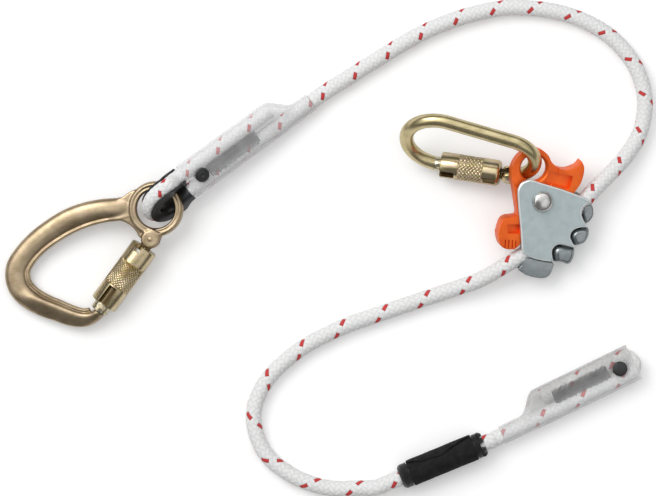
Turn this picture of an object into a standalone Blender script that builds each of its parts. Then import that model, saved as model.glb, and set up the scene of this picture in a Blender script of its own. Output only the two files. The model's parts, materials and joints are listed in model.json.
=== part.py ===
"""Tree climbing lanyard: a rope with a sewn eye and a steel hook at one end, a sewn and
covered end with a stop at the other, and a rope adjuster with an oval carabiner between.
Metres, +Z up, laid out on a floor at z = 0."""
import math

import bmesh
import bpy
from mathutils import Matrix, Vector

MM = 0.001
GAP = 0.3 * MM  # working clearance between neighbouring pieces
OVERRUN = 2.0 * MM  # how far a cutter reaches past the surface that it cuts

# The plan of the laid-out lanyard is read from the photograph, 656 by 496 pixels, seen from above.
PIXEL = 0.75 * MM
PLAN_CENTRE = (328.0, 248.0)

# Rope
ROPE_DIAMETER = 12.0 * MM
SEWN_DIAMETER = 11.4 * MM  # the rope is squeezed a little where it is sewn
STRAND_SPACING = 13.6 * MM  # between the two strands side by side in a sewn end
ROPE_STEP = 24.0 * MM
STOPPED_STEP = 13.0 * MM  # closer steps where the rope runs through the stop
SEWN_STEP = 5.5 * MM
GRIPPED_STEP = 12.0 * MM

# Sewn ends: translucent covers, stitching bands and snap rivets
COVER_WALL = 0.9 * MM
THREAD_THICKNESS = 0.3 * MM
THREAD_FIT = 0.2 * MM
MOUTH_WALL = 1.0 * MM
EYE_COVER = {"wide": 86.0 * MM, "step": 6.0 * MM, "narrow": 18.0 * MM}
END_COVER = {"wide": 78.5 * MM, "step": 14.0 * MM, "narrow": 19.4 * MM}
STITCH_LENGTH = 42.6 * MM
EYE_STITCH_START = 20.0 * MM
END_STITCH_START = 24.0 * MM
TAIL_INSET = 5.0 * MM  # the strand's tail ends this far inside the wide part
WAIST_SHARE = 1 / 3  # how far a cover still reaches to the tail's side in the middle of its step
NECK_SHARE = 0.02  # and along its neck
EYE_MAIN_SHARES = (1.0, 0.8, 0.6, 0.4, 0.25, 0.12, 0.02)  # the strands' places along the covers
EYE_TAIL_SHARES = (0.02, 0.12, 0.25, 0.4, 0.6)
END_MAIN_SHARES = (1.0, 0.75, 0.5, 0.3, 0.15)
END_TAIL_SHARES = (0.15, 0.3, 0.5)
RIVET_PLACE = 11.5 * MM
RIVET_CAP_RADIUS = 5.5 * MM
RIVET_CAP_THICKNESS = 1.8 * MM
RIVET_RIM = 0.5 * MM
RIVET_FLANGE_THICKNESS = 0.8 * MM
RIVET_SHANK_RADIUS = 0.75 * MM
RIVET_SOCKET_DEPTH = 0.9 * MM

# Sewn eye with its thimble, round the ring of the hook
EYE_DIRECTION = math.radians(36.2)  # plan direction from the loop into the cover
EYE_ROLL = math.radians(20.0)
EYE_HEIGHT = 18.6 * MM  # middle of the cover's loop end above the floor
EYE_LOOP_LEAN = math.radians(61.0)  # lean of the loop's plane from the floor
EYE_LOOP_HALF = 14.9 * MM  # half the distance between the loop's two legs
EYE_LOOP_CENTRE = 6.5 * MM  # from the ring's bar to the middle of the loop's bow
EYE_LEG_START = -0.5 * MM
EYE_TO_RING = 14.0 * MM
EYE_SPREAD_SHARE = 0.24  # how far the strands have spread half way to the legs
EYE_SIDE_SHIFT = 1.5 * MM
THIMBLE_WALL = 1.5 * MM
THIMBLE_WRAP = math.radians(100.0)
THIMBLE_BACK = 3.0 * MM  # how far the thimble's legs reach past the ring's bar

# Covered end
END_DIRECTION = math.radians(205.8)
END_PLACE = (632.6, 361.7)
END_HEIGHT = 8.4 * MM
END_LOOP_INSET = 7.0 * MM

# Stop on the rope near the covered end
STOP_START = (400.2, 477.0)
STOP_END = (483.8, 442.6)
STOP_HEIGHT = 10.4 * MM
STOP_WRAP_RADIUS = 10.25 * MM
STOP_CORE_WALL = 1.9 * MM
STOP_COLLAR_RADIUS = 9.5 * MM
STOP_COLLAR_LENGTH = 7.5 * MM
STOP_MOUTH_WALL = 1.2 * MM
COLLAR_TAPER_SHARE = 0.35

# Rope adjuster, drawn on its own plan with the pivot at (0, 0) and the rope along +X
ADJUSTER_PLACE = (538.3, 199.1)
ADJUSTER_DIRECTION = math.radians(42.4)
ADJUSTER_LEAN = math.radians(18.0)  # the lever's side is raised
ADJUSTER_HEIGHT = 23.0 * MM  # the pivot's middle above the floor
ADJUSTER_SPAN = 100.0 * MM  # the outline shares below are shares of this
LEVER_THICKNESS = 12.4 * MM
PLATE_THICKNESS = 3.0 * MM
PLATE_BEVEL = 0.6 * MM
LEVER_BEVEL = 1.4 * MM
PIVOT_RADIUS = 4.0 * MM
PIVOT_HEAD_RADIUS = 7.7 * MM
PIVOT_HEAD_HEIGHT = 3.6 * MM
PIVOT_SINK_RADIUS = 6.0 * MM
BUSH_WALL = 1.8 * MM
EYE_HOLE_RADIUS = 9.8 * MM
EYE_HOLE_MOUTH = 17.5 * MM
EYE_HOLE_LAND = 1.2 * MM  # half the depth of the hole's straight part
EYE_BOSS_RADIUS = 19.0 * MM  # the lever is thinner round its hole
EYE_BOSS_HALF = 3.7 * MM
EYE_HOLE_SHARES = (0.118, 0.218)
POCKET_DEPTH = 2.2 * MM
ROPE_PASS_SHARE = -0.259  # the rope's middle under the pivot
ROPE_RISE_SHARE = 0.031
ROPE_RISE_AT_SHARE = 0.42
GRIPPED_FROM_SHARE = -0.30
GRIPPED_TO_SHARE = 0.20
CHANNEL_SHARE = 0.063  # from the rope's middle to the block, where the outlines below are drawn
BLOCK_BEVEL_SHARE = 0.018
SCREW_RADIUS_SHARE = 0.016
SCREW_HEAD_SHARE = 0.026
SCREW_HEAD_HEIGHT = 1.5 * MM
SCREW_SOCKET_RADIUS = 1.4 * MM
SCREW_SOCKET_DEPTH = 0.8 * MM
SCREW_BITE = 1.6 * MM  # how far a screw reaches into the front plate
SCREW_SHARES = ((-0.240, -0.345), (-0.050, -0.355), (0.110, -0.353))

LEVER_OUTLINE_SHARES = (
    (-0.100, -0.183), (-0.030, -0.196), (0.040, -0.190), (0.100, -0.172), (0.170, -0.143),
    (0.231, -0.127), (0.289, -0.109), (0.369, -0.066), (0.423, -0.018), (0.374, -0.004),
    (0.305, 0.033), (0.262, 0.085), (0.246, 0.140), (0.258, 0.200), (0.268, 0.255),
    (0.245, 0.320), (0.195, 0.365), (0.135, 0.386), (0.070, 0.378), (0.010, 0.346),
    (-0.035, 0.306), (-0.083, 0.232), (-0.132, 0.147), (-0.205, 0.044), (-0.250, 0.052),
    (-0.300, 0.072), (-0.355, 0.056), (-0.410, 0.016), (-0.441, -0.052), (-0.430, -0.104),
    (-0.385, -0.134), (-0.330, -0.140), (-0.280, -0.115), (-0.230, -0.120), (-0.165, -0.158),
)
HORN_POCKET_SHARES = ((0.215, 0.020), (0.330, -0.052), (0.362, -0.026), (0.262, 0.040), (0.226, 0.062))
TAB_POCKET_SHARES = ((-0.375, 0.012), (-0.392, -0.040), (-0.310, -0.070), (-0.290, -0.014))
PLATE_OUTLINE_SHARES = (
    (-0.065, 0.162), (-0.020, 0.180), (0.035, 0.163), (0.070, 0.122), (0.217, -0.125),
    (0.275, -0.255), (0.276, -0.298),
)
FINGER_BITES_SHARES = (  # from, middle and to of each finger bite in the plate's edge
    ((0.276, -0.298), (0.190, -0.305), (0.135, -0.410)),
    ((0.126, -0.418), (0.025, -0.352), (-0.035, -0.440)),
    ((-0.046, -0.447), (-0.140, -0.350), (-0.230, -0.408)),
)
PLATE_CLOSE_SHARES = ((-0.264, -0.393), (-0.320, -0.325), (-0.346, -0.274), (-0.357, -0.225))
BLOCK_LOBE_SHARES = ((0.200, -0.345, 0.045), (0.058, -0.405, 0.068), (-0.130, -0.432, 0.080))
BLOCK_HEEL_SHARES = ((-0.235, -0.430), (-0.276, -0.462), (-0.360, -0.482), (-0.440, -0.430), (-0.462, -0.330))
BITE_STEPS = 6

# Hook carabiner, drawn from the middle of its ring
HOOK_PLACE = (156.7, 209.0)
HOOK_DIRECTION = math.radians(209.2)
HOOK_SLOPE = math.radians(5.6)
HOOK_ROLL = math.radians(0.4)
HOOK_LENGTH = 124.0 * MM  # ring centre to the far bend
HOOK_SWING_HEIGHT = 19.2 * MM
HOOK_TO_EYE = math.radians(-169.2)  # direction on the hook from the ring's middle to the rope eye
RING_RADIUS = 17.0 * MM
RING_WIDTH = 5.5 * MM
RING_THICKNESS = 7.4 * MM
HOOK_WIDTH = 16.8 * MM
HOOK_THICKNESS = 10.8 * MM
HOOK_SPINE_SHARES = (  # middle line and width along the forging
    (0.113, -0.079, 0.97), (0.206, -0.105, 1.04), (0.289, -0.140, 1.03), (0.387, -0.169, 1.04),
    (0.496, -0.185, 1.05), (0.613, -0.182, 1.02), (0.726, -0.167, 1.00), (0.831, -0.133, 1.00),
    (0.903, -0.077, 0.98), (0.932, 0.000, 0.95), (0.915, 0.081, 0.93), (0.871, 0.161, 0.92),
    (0.819, 0.238, 0.90), (0.762, 0.306, 0.86), (0.706, 0.352, 0.76), (0.653, 0.365, 0.64),
    (0.597, 0.357, 0.56),
)
HOOK_PIN_SHARES = (0.117, 0.144)
HOOK_ARM_SHARES = ((*HOOK_PIN_SHARES, 0.66), (*HOOK_PIN_SHARES, 0.69))
HOOK_GATE_DIRECTION = math.radians(24.4)
HOOK_REACH_SHARE = 0.5403  # from the hinge pin to the gate's end
HOOK_GATE = {
    "start": 7.6 * MM, "sleeve_radius": 10.5 * MM, "core_radius": 5.0 * MM, "head_radius": 6.7 * MM,
    "sleeve_short": 6.6 * MM, "head_share": 0.6866,
    "bush_length": 10.0 * MM, "lip": 3.0 * MM, "wire": 0.9 * MM, "turns": 5,
    "tongue_radius": 5.0 * MM, "tongue_thickness": 4.6 * MM, "lug_radius": 5.8 * MM,
    "lug_thickness": 10.6 * MM, "pin_radius": 1.9 * MM, "pin_head": 2.9 * MM,
    "pin_head_height": 0.7 * MM, "nest": 2.9 * MM, "lift": 4.5 * MM, "opens": math.radians(25.0),
    "window_shares": (0.72, 0.90), "window_width": 4.2 * MM, "window_turn": math.radians(200.0),
    "band_shares": (0.35, 0.70), "groove_width": 1.4 * MM, "groove_depth": 0.6 * MM,
}

# Oval carabiner, drawn from the middle of its bar where it passes through the adjuster's lever
OVAL_DIRECTION = math.radians(167.5)
OVAL_LEAN = math.radians(54.0)
OVAL_SLOPE = math.radians(2.2)
OVAL_LENGTH = 108.0 * MM
OVAL_SPACING = 52.0 * MM  # between the middle lines of the spine and the gate, at the far bend
OVAL_TAPER_SHARE = 0.79  # the near bend's radius as a share of the far one's
OVAL_RISE_SHARE = 0.20  # the lever's hole is this share of the far radius below the oval's middle
OVAL_WIRE = 10.5 * MM
OVAL_PIN_TURN = math.radians(4.0)  # the hinge pin sits this far round the near bend
OVAL_NOSE_PAST = 4.0 * MM  # the gate ends this far into the far bend
OVAL_GATE = {
    "start": 6.2 * MM, "sleeve_radius": 9.6 * MM, "core_radius": 4.2 * MM, "head_radius": 5.7 * MM,
    "sleeve_short": 4.4 * MM, "head_share": 0.695,
    "bush_length": 9.0 * MM, "lip": 2.6 * MM, "wire": 0.8 * MM, "turns": 5,
    "tongue_radius": 4.4 * MM, "tongue_thickness": 4.2 * MM, "lug_radius": 5.2 * MM,
    "lug_thickness": 10.6 * MM, "pin_radius": 1.7 * MM, "pin_head": 2.6 * MM,
    "pin_head_height": 0.6 * MM, "nest": 2.6 * MM, "lift": 3.8 * MM, "opens": math.radians(25.0),
    "window_shares": (0.74, 0.90), "window_width": 3.8 * MM, "window_turn": math.radians(250.0),
    "band_shares": (0.30, 0.68), "groove_width": 1.2 * MM, "groove_depth": 0.5 * MM,
}

# Carabiner gates
TONGUE_ROOT_SHARE = 0.8
COIL_WIRE_SHARE = 0.31  # of the height that the gate's spring has
PIN_CROWN_SHARE = 0.6
NOSE_SPREAD = math.radians(9.0)  # half the angle that the nose is open over

# Routes of the rope's free stretches: pixels of the plan and the rope's lift off the floor
UPPER_ROUTE = (
    (350.6, 76.2, 0), (383.5, 55.6, 0), (418.7, 35.0, 0), (454.0, 20.0, 0), (492.0, 10.0, 0),
    (523.0, 8.0, 0), (565.0, 14.5, 0), (604.0, 32.5, 0), (631.0, 60.5, 0), (643.8, 94.0, 0),
    (641.0, 128.0, 0.6 * MM), (627.0, 154.0, 3.2 * MM), (611.0, 172.0, 6.6 * MM),
)
LOWER_ROUTE = (
    (482.0, 278.5, 5.6 * MM), (455.0, 288.5, 2.2 * MM), (425.1, 298.2, 0.2 * MM), (383.0, 312.5, 0),
    (340.6, 327.8, 0), (300.8, 348.9, 0), (270.2, 375.7, 0), (256.0, 402.4, 0), (255.0, 428.0, 0),
    (268.0, 456.0, 0), (296.0, 477.0, 0), (329.5, 487.6, 0.3 * MM), (362.0, 487.5, 2.4 * MM),
)
STOP_LEADS = (20.0 * MM, 8.0 * MM)  # straight rope before the stop
STOP_LEAVE = 4.0 * MM  # straight rope after the stop
MOUTH_LEAD = 9.0 * MM  # straight rope before a cover's mouth
END_LEAD = 3.0 * MM

# Roundness of what is turned, swept and coiled
SIDES = 10
TURNED_SIDES = 20
PIN_SIDES = 16
SMALL_SIDES = 12
WIDE_SIDES = 32
SOCKET_SIDES = 6
LOBE_STEPS = 6
BEND_STEPS = 11
NOSE_STEPS = 8
COIL_STEPS = 8
COIL_SIDES = 4
SHARP_ANGLE = math.radians(35.0)
FORGED_SQUARE_SHARE = 0.62  # 1 is a round section, and less is squarer
RING_SQUARE_SHARE = 0.9
WIRE_SQUARE_SHARE = 1.0


def clear_scene():
    for item in list(bpy.data.objects):
        bpy.data.objects.remove(item, do_unlink=True)


def paint(name, colour, roughness, metallic=0.0):
    material = bpy.data.materials.new(name)
    material.use_nodes = True
    shader = material.node_tree.nodes["Principled BSDF"]
    shader.inputs["Base Color"].default_value = (*colour, 1.0)
    shader.inputs["Roughness"].default_value = roughness
    shader.inputs["Metallic"].default_value = metallic
    material.diffuse_color = (*colour, 1.0)
    return material


def plan_point(place, height):
    """A point over a pixel of the plan."""
    return Vector(((place[0] - PLAN_CENTRE[0]) * PIXEL, (PLAN_CENTRE[1] - place[1]) * PIXEL, height))


def frame(origin, along, up):
    """A right-handed frame with +X along and +Z as near to up as it can be."""
    x = along.normalized()
    z = (up - x * up.dot(x)).normalized()
    return Matrix.Translation(origin) @ Matrix((x, z.cross(x), z)).transposed().to_4x4()


def empty(name, matrix, parent):
    item = bpy.data.objects.new(name, None)
    bpy.context.scene.collection.objects.link(item)
    item.parent = parent
    item.matrix_basis = matrix
    return item


def add_object(name, mesh, material, parent):
    item = bpy.data.objects.new(name, mesh)
    bpy.context.scene.collection.objects.link(item)
    item.parent = parent
    if material:
        mesh.materials.clear()
        mesh.materials.append(material)
    mesh.shade_smooth()
    mesh.set_sharp_from_angle(angle=SHARP_ANGLE)
    return item


def finish(bm):
    bmesh.ops.recalc_face_normals(bm, faces=bm.faces)
    mesh = bpy.data.meshes.new("shape")
    bm.to_mesh(mesh)
    bm.free()
    return mesh


def loft(rings, closed=False):
    """Rings of as many points each, joined in turn; an open loft gets flat ends."""
    bm = bmesh.new()
    loops = [[bm.verts.new(point) for point in ring] for ring in rings]
    for this, after in zip(loops, loops[1:] + (loops[:1] if closed else [])):
        for i in range(len(this)):
            j = (i + 1) % len(this)
            bm.faces.new((this[i], this[j], after[j], after[i]))
    if not closed:
        bm.faces.new(loops[0])
        bm.faces.new(loops[-1])
    return finish(bm)


def turned(profile, sides=TURNED_SIDES, turn=None):
    """Profile points (along X, radius) turned about X. A radius of zero is a pole."""
    bm = bmesh.new()
    loops = []
    for along, radius in profile:
        if radius == 0:
            loops.append([bm.verts.new((along, 0, 0))])
            continue
        angles = [math.tau * i / sides for i in range(sides)]
        ring = [(along, radius * math.cos(angle), radius * math.sin(angle)) for angle in angles]
        loops.append([bm.verts.new(place) for place in ring])
    open_profile = len(loops[0]) == 1
    for this, after in zip(loops, loops[1:] + ([] if open_profile else loops[:1])):
        for i in range(sides):
            j = (i + 1) % sides
            corners = [loop[k % len(loop)] for loop, k in ((this, i), (this, j), (after, j), (after, i))]
            bm.faces.new(list(dict.fromkeys(corners)))
    mesh = finish(bm)
    if turn:
        mesh.transform(turn)
    return mesh


def prism(outline, low, high, bevel=0.0):
    """An outline in the XY plane made solid between two heights, with its rims bevelled."""
    bm = bmesh.new()
    face = bm.faces.new([bm.verts.new((x, y, low)) for x, y in outline])
    grown = bmesh.ops.extrude_face_region(bm, geom=[face])["geom"]
    risen = [item for item in grown if isinstance(item, bmesh.types.BMVert)]
    bmesh.ops.translate(bm, verts=risen, vec=(0, 0, high - low))
    bmesh.ops.recalc_face_normals(bm, faces=bm.faces)
    if bevel:
        rims = [e for e in bm.edges if abs(e.verts[0].co.z - e.verts[1].co.z) < GAP]
        bmesh.ops.bevel(
            bm, geom=rims, offset=bevel, segments=2, profile=0.5, affect="EDGES", clamp_overlap=True
        )
    return finish(bm)


def box(low, high):
    outline = ((low[0], low[1]), (high[0], low[1]), (high[0], high[1]), (low[0], high[1]))
    return prism(outline, low[2], high[2])


def combine(mesh, tool, operation):
    """The mesh of one solid joined to, cut by or kept within another."""
    base = bpy.data.objects.new("base", mesh)
    other = bpy.data.objects.new("tool", tool)
    for item in (base, other):
        bpy.context.scene.collection.objects.link(item)
    step = base.modifiers.new("step", "BOOLEAN")
    step.operation = operation
    step.object = other
    bpy.context.view_layer.update()
    result = bpy.data.meshes.new_from_object(base.evaluated_get(bpy.context.evaluated_depsgraph_get()))
    for item in (base, other):
        bpy.data.objects.remove(item, do_unlink=True)
    return result


def cut(mesh, *tools):
    for tool in tools:
        mesh = combine(mesh, tool, "DIFFERENCE")
    return mesh


def join(mesh, *tools):
    for tool in tools:
        mesh = combine(mesh, tool, "UNION")
    return mesh


def curve_between(before, start, end, after, share):
    """Catmull-Rom point between start and end."""
    a = 2 * start
    b = end - before
    c = 2 * before - 5 * start + 4 * end - after
    d = after - before + 3 * (start - end)
    return 0.5 * (a + b * share + c * share**2 + d * share**3)


def smooth_route(points, step):
    """Points at even steps along a smooth curve through the route's own points."""
    ends = [2 * points[0] - points[1], *points, 2 * points[-1] - points[-2]]
    fine = []
    parts = 24
    for before, start, end, after in zip(ends, ends[1:], ends[2:], ends[3:]):
        fine += [curve_between(before, start, end, after, i / parts) for i in range(parts)]
    fine.append(points[-1])
    reach = [0.0]
    for start, end in zip(fine, fine[1:]):
        reach.append(reach[-1] + (end - start).length)
    count = max(2, round(reach[-1] / step))
    route = []
    index = 0
    for k in range(count + 1):
        target = reach[-1] * k / count
        while index < len(fine) - 2 and reach[index + 1] < target:
            index += 1
        share = (target - reach[index]) / (reach[index + 1] - reach[index])
        route.append(fine[index].lerp(fine[index + 1], min(1.0, share)))
    return route


def led_route(points, step):
    """A smooth route with a short straight lead at each end, square to what it meets."""
    route = smooth_route(points, step)
    start = (points[1] - points[0]).normalized() * END_LEAD
    end = (points[-2] - points[-1]).normalized() * END_LEAD
    return [route[0], route[0] + start, *route[1:-1], route[-1] + end, route[-1]]


def rope_tube(name, route, diameter, material, parent, roundness=3):
    curve = bpy.data.curves.new(name, "CURVE")
    curve.dimensions = "3D"
    curve.bevel_depth = diameter / 2
    curve.bevel_resolution = roundness
    curve.use_fill_caps = True
    spline = curve.splines.new("POLY")
    spline.points.add(len(route) - 1)
    for point, place in zip(spline.points, route):
        point.co = (*place, 1.0)
    curve.materials.append(material)
    item = bpy.data.objects.new(name, curve)
    bpy.context.scene.collection.objects.link(item)
    item.parent = parent
    return item


def helix(radius, start, end, turns, wire):
    """A coil about X between two places, its ends kept inside them."""
    low = start + wire / 2
    high = end - wire / 2
    count = turns * COIL_STEPS
    rings = []
    for k in range(count + 1):
        angle = math.tau * k / COIL_STEPS
        along = low + (high - low) * k / count
        out = Vector((0, math.cos(angle), math.sin(angle)))
        round_it = Vector((0, -math.sin(angle), math.cos(angle)))
        ahead = Vector(((high - low) / turns, 0, 0)) + math.tau * radius * round_it
        side = ahead.cross(out).normalized()
        middle = Vector((along, 0, 0)) + out * radius
        ring = []
        for i in range(COIL_SIDES):
            turn = math.tau * i / COIL_SIDES
            ring.append(middle + wire / 2 * (out * math.cos(turn) + side * math.sin(turn)))
        rings.append(ring)
    return loft(rings)


def stadium(along, first, second, radius, sides=PIN_SIDES):
    """A ring across X: two half circles about two places on Y."""
    low = min(first, second)
    high = max(first, second)
    ring = []
    for i in range(sides // 2 + 1):
        angle = -math.pi / 2 + math.pi * i / (sides // 2)
        ring.append((along, high + radius * math.cos(angle), radius * math.sin(angle)))
    for i in range(sides // 2 + 1):
        angle = math.pi / 2 + math.pi * i / (sides // 2)
        ring.append((along, low + radius * math.cos(angle), radius * math.sin(angle)))
    return ring


def bar_ring(centre, across, up, width, thickness, square):
    """A rounded-rectangular ring of points about the centre."""
    ring = []
    for i in range(SIDES):
        angle = math.tau * (i + 0.5) / SIDES
        c = math.cos(angle)
        s = math.sin(angle)
        ring.append(
            centre
            + across * (width / 2 * math.copysign(abs(c) ** square, c))
            + up * (thickness / 2 * math.copysign(abs(s) ** square, s))
        )
    return ring


def bar_along(stations, thickness, square):
    """A forging swept in the XY plane through stations (x, y, width)."""
    points = [Vector((x, y, 0)) for x, y, _ in stations]
    rings = []
    for k, (point, station) in enumerate(zip(points, stations)):
        ahead = points[min(k + 1, len(points) - 1)] - points[max(k - 1, 0)]
        across = Vector((0, 0, 1)).cross(ahead).normalized()
        rings.append(bar_ring(point, across, Vector((0, 0, 1)), station[2], thickness, square))
    return loft(rings)


def disc(centre, radius, low, high, sides=TURNED_SIDES):
    """An upright cylinder about a place on the XY plane."""
    outline = []
    for i in range(sides):
        angle = math.tau * (i + 0.5) / sides
        outline.append((centre[0] + radius * math.cos(angle), centre[1] + radius * math.sin(angle)))
    return prism(outline, low, high)


def scaled(shares, size):
    return [tuple(share * size for share in row) for row in shares]


def under_rope(shares):
    """Places on the adjuster's plan; those under the rope keep their distance from its channel."""
    drop = ROPE_DIAMETER / 2 + GAP - CHANNEL_SHARE * ADJUSTER_SPAN
    return [
        (x * ADJUSTER_SPAN, y * ADJUSTER_SPAN - (drop if y < ROPE_PASS_SHARE else 0)) for x, y in shares
    ]


UPRIGHT = Matrix.Rotation(math.radians(-90.0), 4, "Y")  # turns the X axis up to Z


def fitted(gate, reach):
    """A gate's sizes, with those that follow from how far it reaches."""
    return {
        **gate, "reach": reach, "sleeve_end": reach - gate["sleeve_short"],
        "head_start": reach * gate["head_share"],
    }


def gate_parts(prefix, size, paints, parent):
    """A self-locking gate, drawn from its hinge pin along +X and opening about +Z towards +Y."""
    steel, bright, spring_steel, plastic = paints
    bore = size["head_radius"] + GAP
    core = size["core_radius"]
    half_tongue = size["tongue_thickness"] / 2
    pin_hole = size["pin_radius"] + GAP

    end_angle = math.asin(size["head_radius"] / size["reach"])
    head_face = [
        (size["reach"] * math.cos(end_angle * k / 3), size["reach"] * math.sin(end_angle * k / 3))
        for k in (3, 2, 1)
    ]
    shaft = turned([
        (size["start"], 0), (size["start"], core), (size["head_start"], core),
        (size["head_start"], size["head_radius"]), *head_face, (size["reach"], 0),
    ])
    width = size["tongue_radius"]
    root = size["start"] + OVERRUN
    half_root = width * TONGUE_ROOT_SHARE
    tongue_outline = [(root, -half_root), (root, half_root), (0, width)]
    for k in range(1, LOBE_STEPS + 1):
        angle = math.pi / 2 + math.pi * k / (LOBE_STEPS + 1)
        tongue_outline.append((width * math.cos(angle), width * math.sin(angle)))
    tongue_outline.append((0, -width))
    gate = join(shaft, prism(tongue_outline, -half_tongue, half_tongue))
    nest = half_tongue - size["nest"]
    gate = cut(
        gate,
        disc((0, 0), pin_hole, -half_tongue - OVERRUN, half_tongue + OVERRUN, PIN_SIDES),
        disc((0, 0), width - 2 * GAP, nest, half_tongue + OVERRUN, PIN_SIDES + 2),
    )
    lock_place = (size["head_start"] + size["sleeve_end"]) / 2
    lock_radius = size["head_radius"] / 4
    lock_low = size["head_radius"] / 3
    lock_turn = Matrix.Rotation(size["window_turn"], 4, "X")
    lock_hole = disc((lock_place, 0), lock_radius + GAP, lock_low - GAP, bore + OVERRUN, SMALL_SIDES)
    lock_hole.transform(lock_turn)
    gate = cut(gate, lock_hole)
    add_object(prefix + "_gate", gate, bright, parent)
    lock = disc((lock_place, 0), lock_radius, lock_low, size["head_radius"] - GAP, SMALL_SIDES)
    lock.transform(lock_turn)
    add_object(prefix + "_lock_pin", lock, spring_steel, parent)

    coil_low = nest + GAP
    coil_high = half_tongue + GAP / 2
    coil_wire = (coil_high - coil_low) * COIL_WIRE_SHARE
    coil = helix((pin_hole + width - 2 * GAP) / 2, coil_low, coil_high, 2, coil_wire)
    coil.transform(UPRIGHT)
    add_object(prefix + "_gate_spring", coil, spring_steel, parent)

    outer = size["sleeve_radius"]
    start = size["start"]
    end = size["sleeve_end"]
    rim = size["groove_width"]
    marks = [start + (end - start) * share for share in size["band_shares"]]
    profile = [(start, core + GAP), (start, outer - rim), (start + rim, outer)]
    for mark in marks:
        profile += [
            (mark - rim / 2, outer), (mark - rim / 2, outer - size["groove_depth"]),
            (mark + rim / 2, outer - size["groove_depth"]), (mark + rim / 2, outer),
        ]
    profile += [(end - rim, outer), (end, outer - rim), (end, bore), (start + size["lip"], bore)]
    profile += [(start + size["lip"], core + GAP)]
    window = [start + (end - start) * share for share in size["window_shares"]]
    half_window = size["window_width"] / 2
    slot = box((window[0], -half_window, core), (window[1], half_window, outer + OVERRUN))
    slot.transform(lock_turn)
    add_object(prefix + "_locking_sleeve", cut(turned(profile), slot), steel, parent)

    bush_start = start + size["lip"] + GAP
    bush_end = bush_start + size["bush_length"]
    bush = turned([
        (bush_start, core + GAP), (bush_start, bore - GAP),
        (bush_end, bore - GAP), (bush_end, core + GAP),
    ])
    add_object(prefix + "_sleeve_bush", bush, plastic, parent)
    spring_start = bush_end + size["lift"] + GAP
    spring = helix((core + bore) / 2, spring_start, size["head_start"] - GAP, size["turns"], size["wire"])
    add_object(prefix + "_sleeve_spring", spring, spring_steel, parent)

    ear = size["lug_thickness"] / 2 + GAP
    radius = size["pin_radius"]
    head = size["pin_head"]
    crown = head * PIN_CROWN_SHARE
    shoulder = ear + size["pin_head_height"] / 3
    top = ear + size["pin_head_height"]
    pin = turned([
        (-top, 0), (-top, crown), (-shoulder, head), (-ear, head), (-ear, radius),
        (ear, radius), (ear, head), (shoulder, head), (top, crown), (top, 0),
    ], PIN_SIDES, UPRIGHT)
    add_object(prefix + "_hinge_pin", pin, spring_steel, parent)


def hinge_slot(size, at):
    """What is cut from a carabiner's lug for the gate's tongue, and the hole for its pin."""
    half = size["tongue_thickness"] / 2 + GAP
    reach = size["lug_thickness"] / 2 + OVERRUN
    slot = disc(at, size["lug_radius"] + GAP, -half, half)
    hole = disc(at, size["pin_radius"] + GAP, -reach, reach, PIN_SIDES)
    return slot, hole


def nose_cut(size, matrix):
    """The swept space of the gate's end, cut from a carabiner's nose."""
    outer = size["reach"] + GAP
    inner = size["sleeve_end"]
    outline = []
    for k in range(NOSE_STEPS + 1):
        angle = -NOSE_SPREAD + 2 * NOSE_SPREAD * k / NOSE_STEPS
        outline.append((outer * math.cos(angle), outer * math.sin(angle)))
    for angle in (NOSE_SPREAD, -NOSE_SPREAD):
        outline.append((inner * math.cos(angle), inner * math.sin(angle)))
    reach = size["lug_thickness"] + OVERRUN
    tool = prism(outline, -reach, reach)
    tool.transform(matrix)
    return tool


def hook_frame():
    """The hook's frame, with its origin where its ring bears on the rope eye."""
    along = Vector((math.cos(HOOK_DIRECTION), math.sin(HOOK_DIRECTION), -math.tan(HOOK_SLOPE)))
    side = Vector((-math.sin(HOOK_DIRECTION), math.cos(HOOK_DIRECTION), math.tan(HOOK_ROLL)))
    level = frame(Vector((0, 0, 0)), along, along.cross(side))
    bearing = ring_bearing()
    ring = plan_point(HOOK_PLACE, 0)
    origin = ring + level.to_3x3() @ bearing
    origin.z = HOOK_SWING_HEIGHT
    return Matrix.Translation(origin) @ level


def hook_stations(shares):
    """Stations of a forging, the first brought onto the middle of the ring's bar."""
    stations = [(x * HOOK_LENGTH, y * HOOK_LENGTH, width * HOOK_WIDTH) for x, y, width in shares]
    x, y, width = stations[0]
    root = RING_RADIUS / math.hypot(x, y)
    return [(x * root, y * root, width), *stations[1:]]


def ring_bearing():
    return RING_RADIUS * Vector((math.cos(HOOK_TO_EYE), math.sin(HOOK_TO_EYE), 0))


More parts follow.
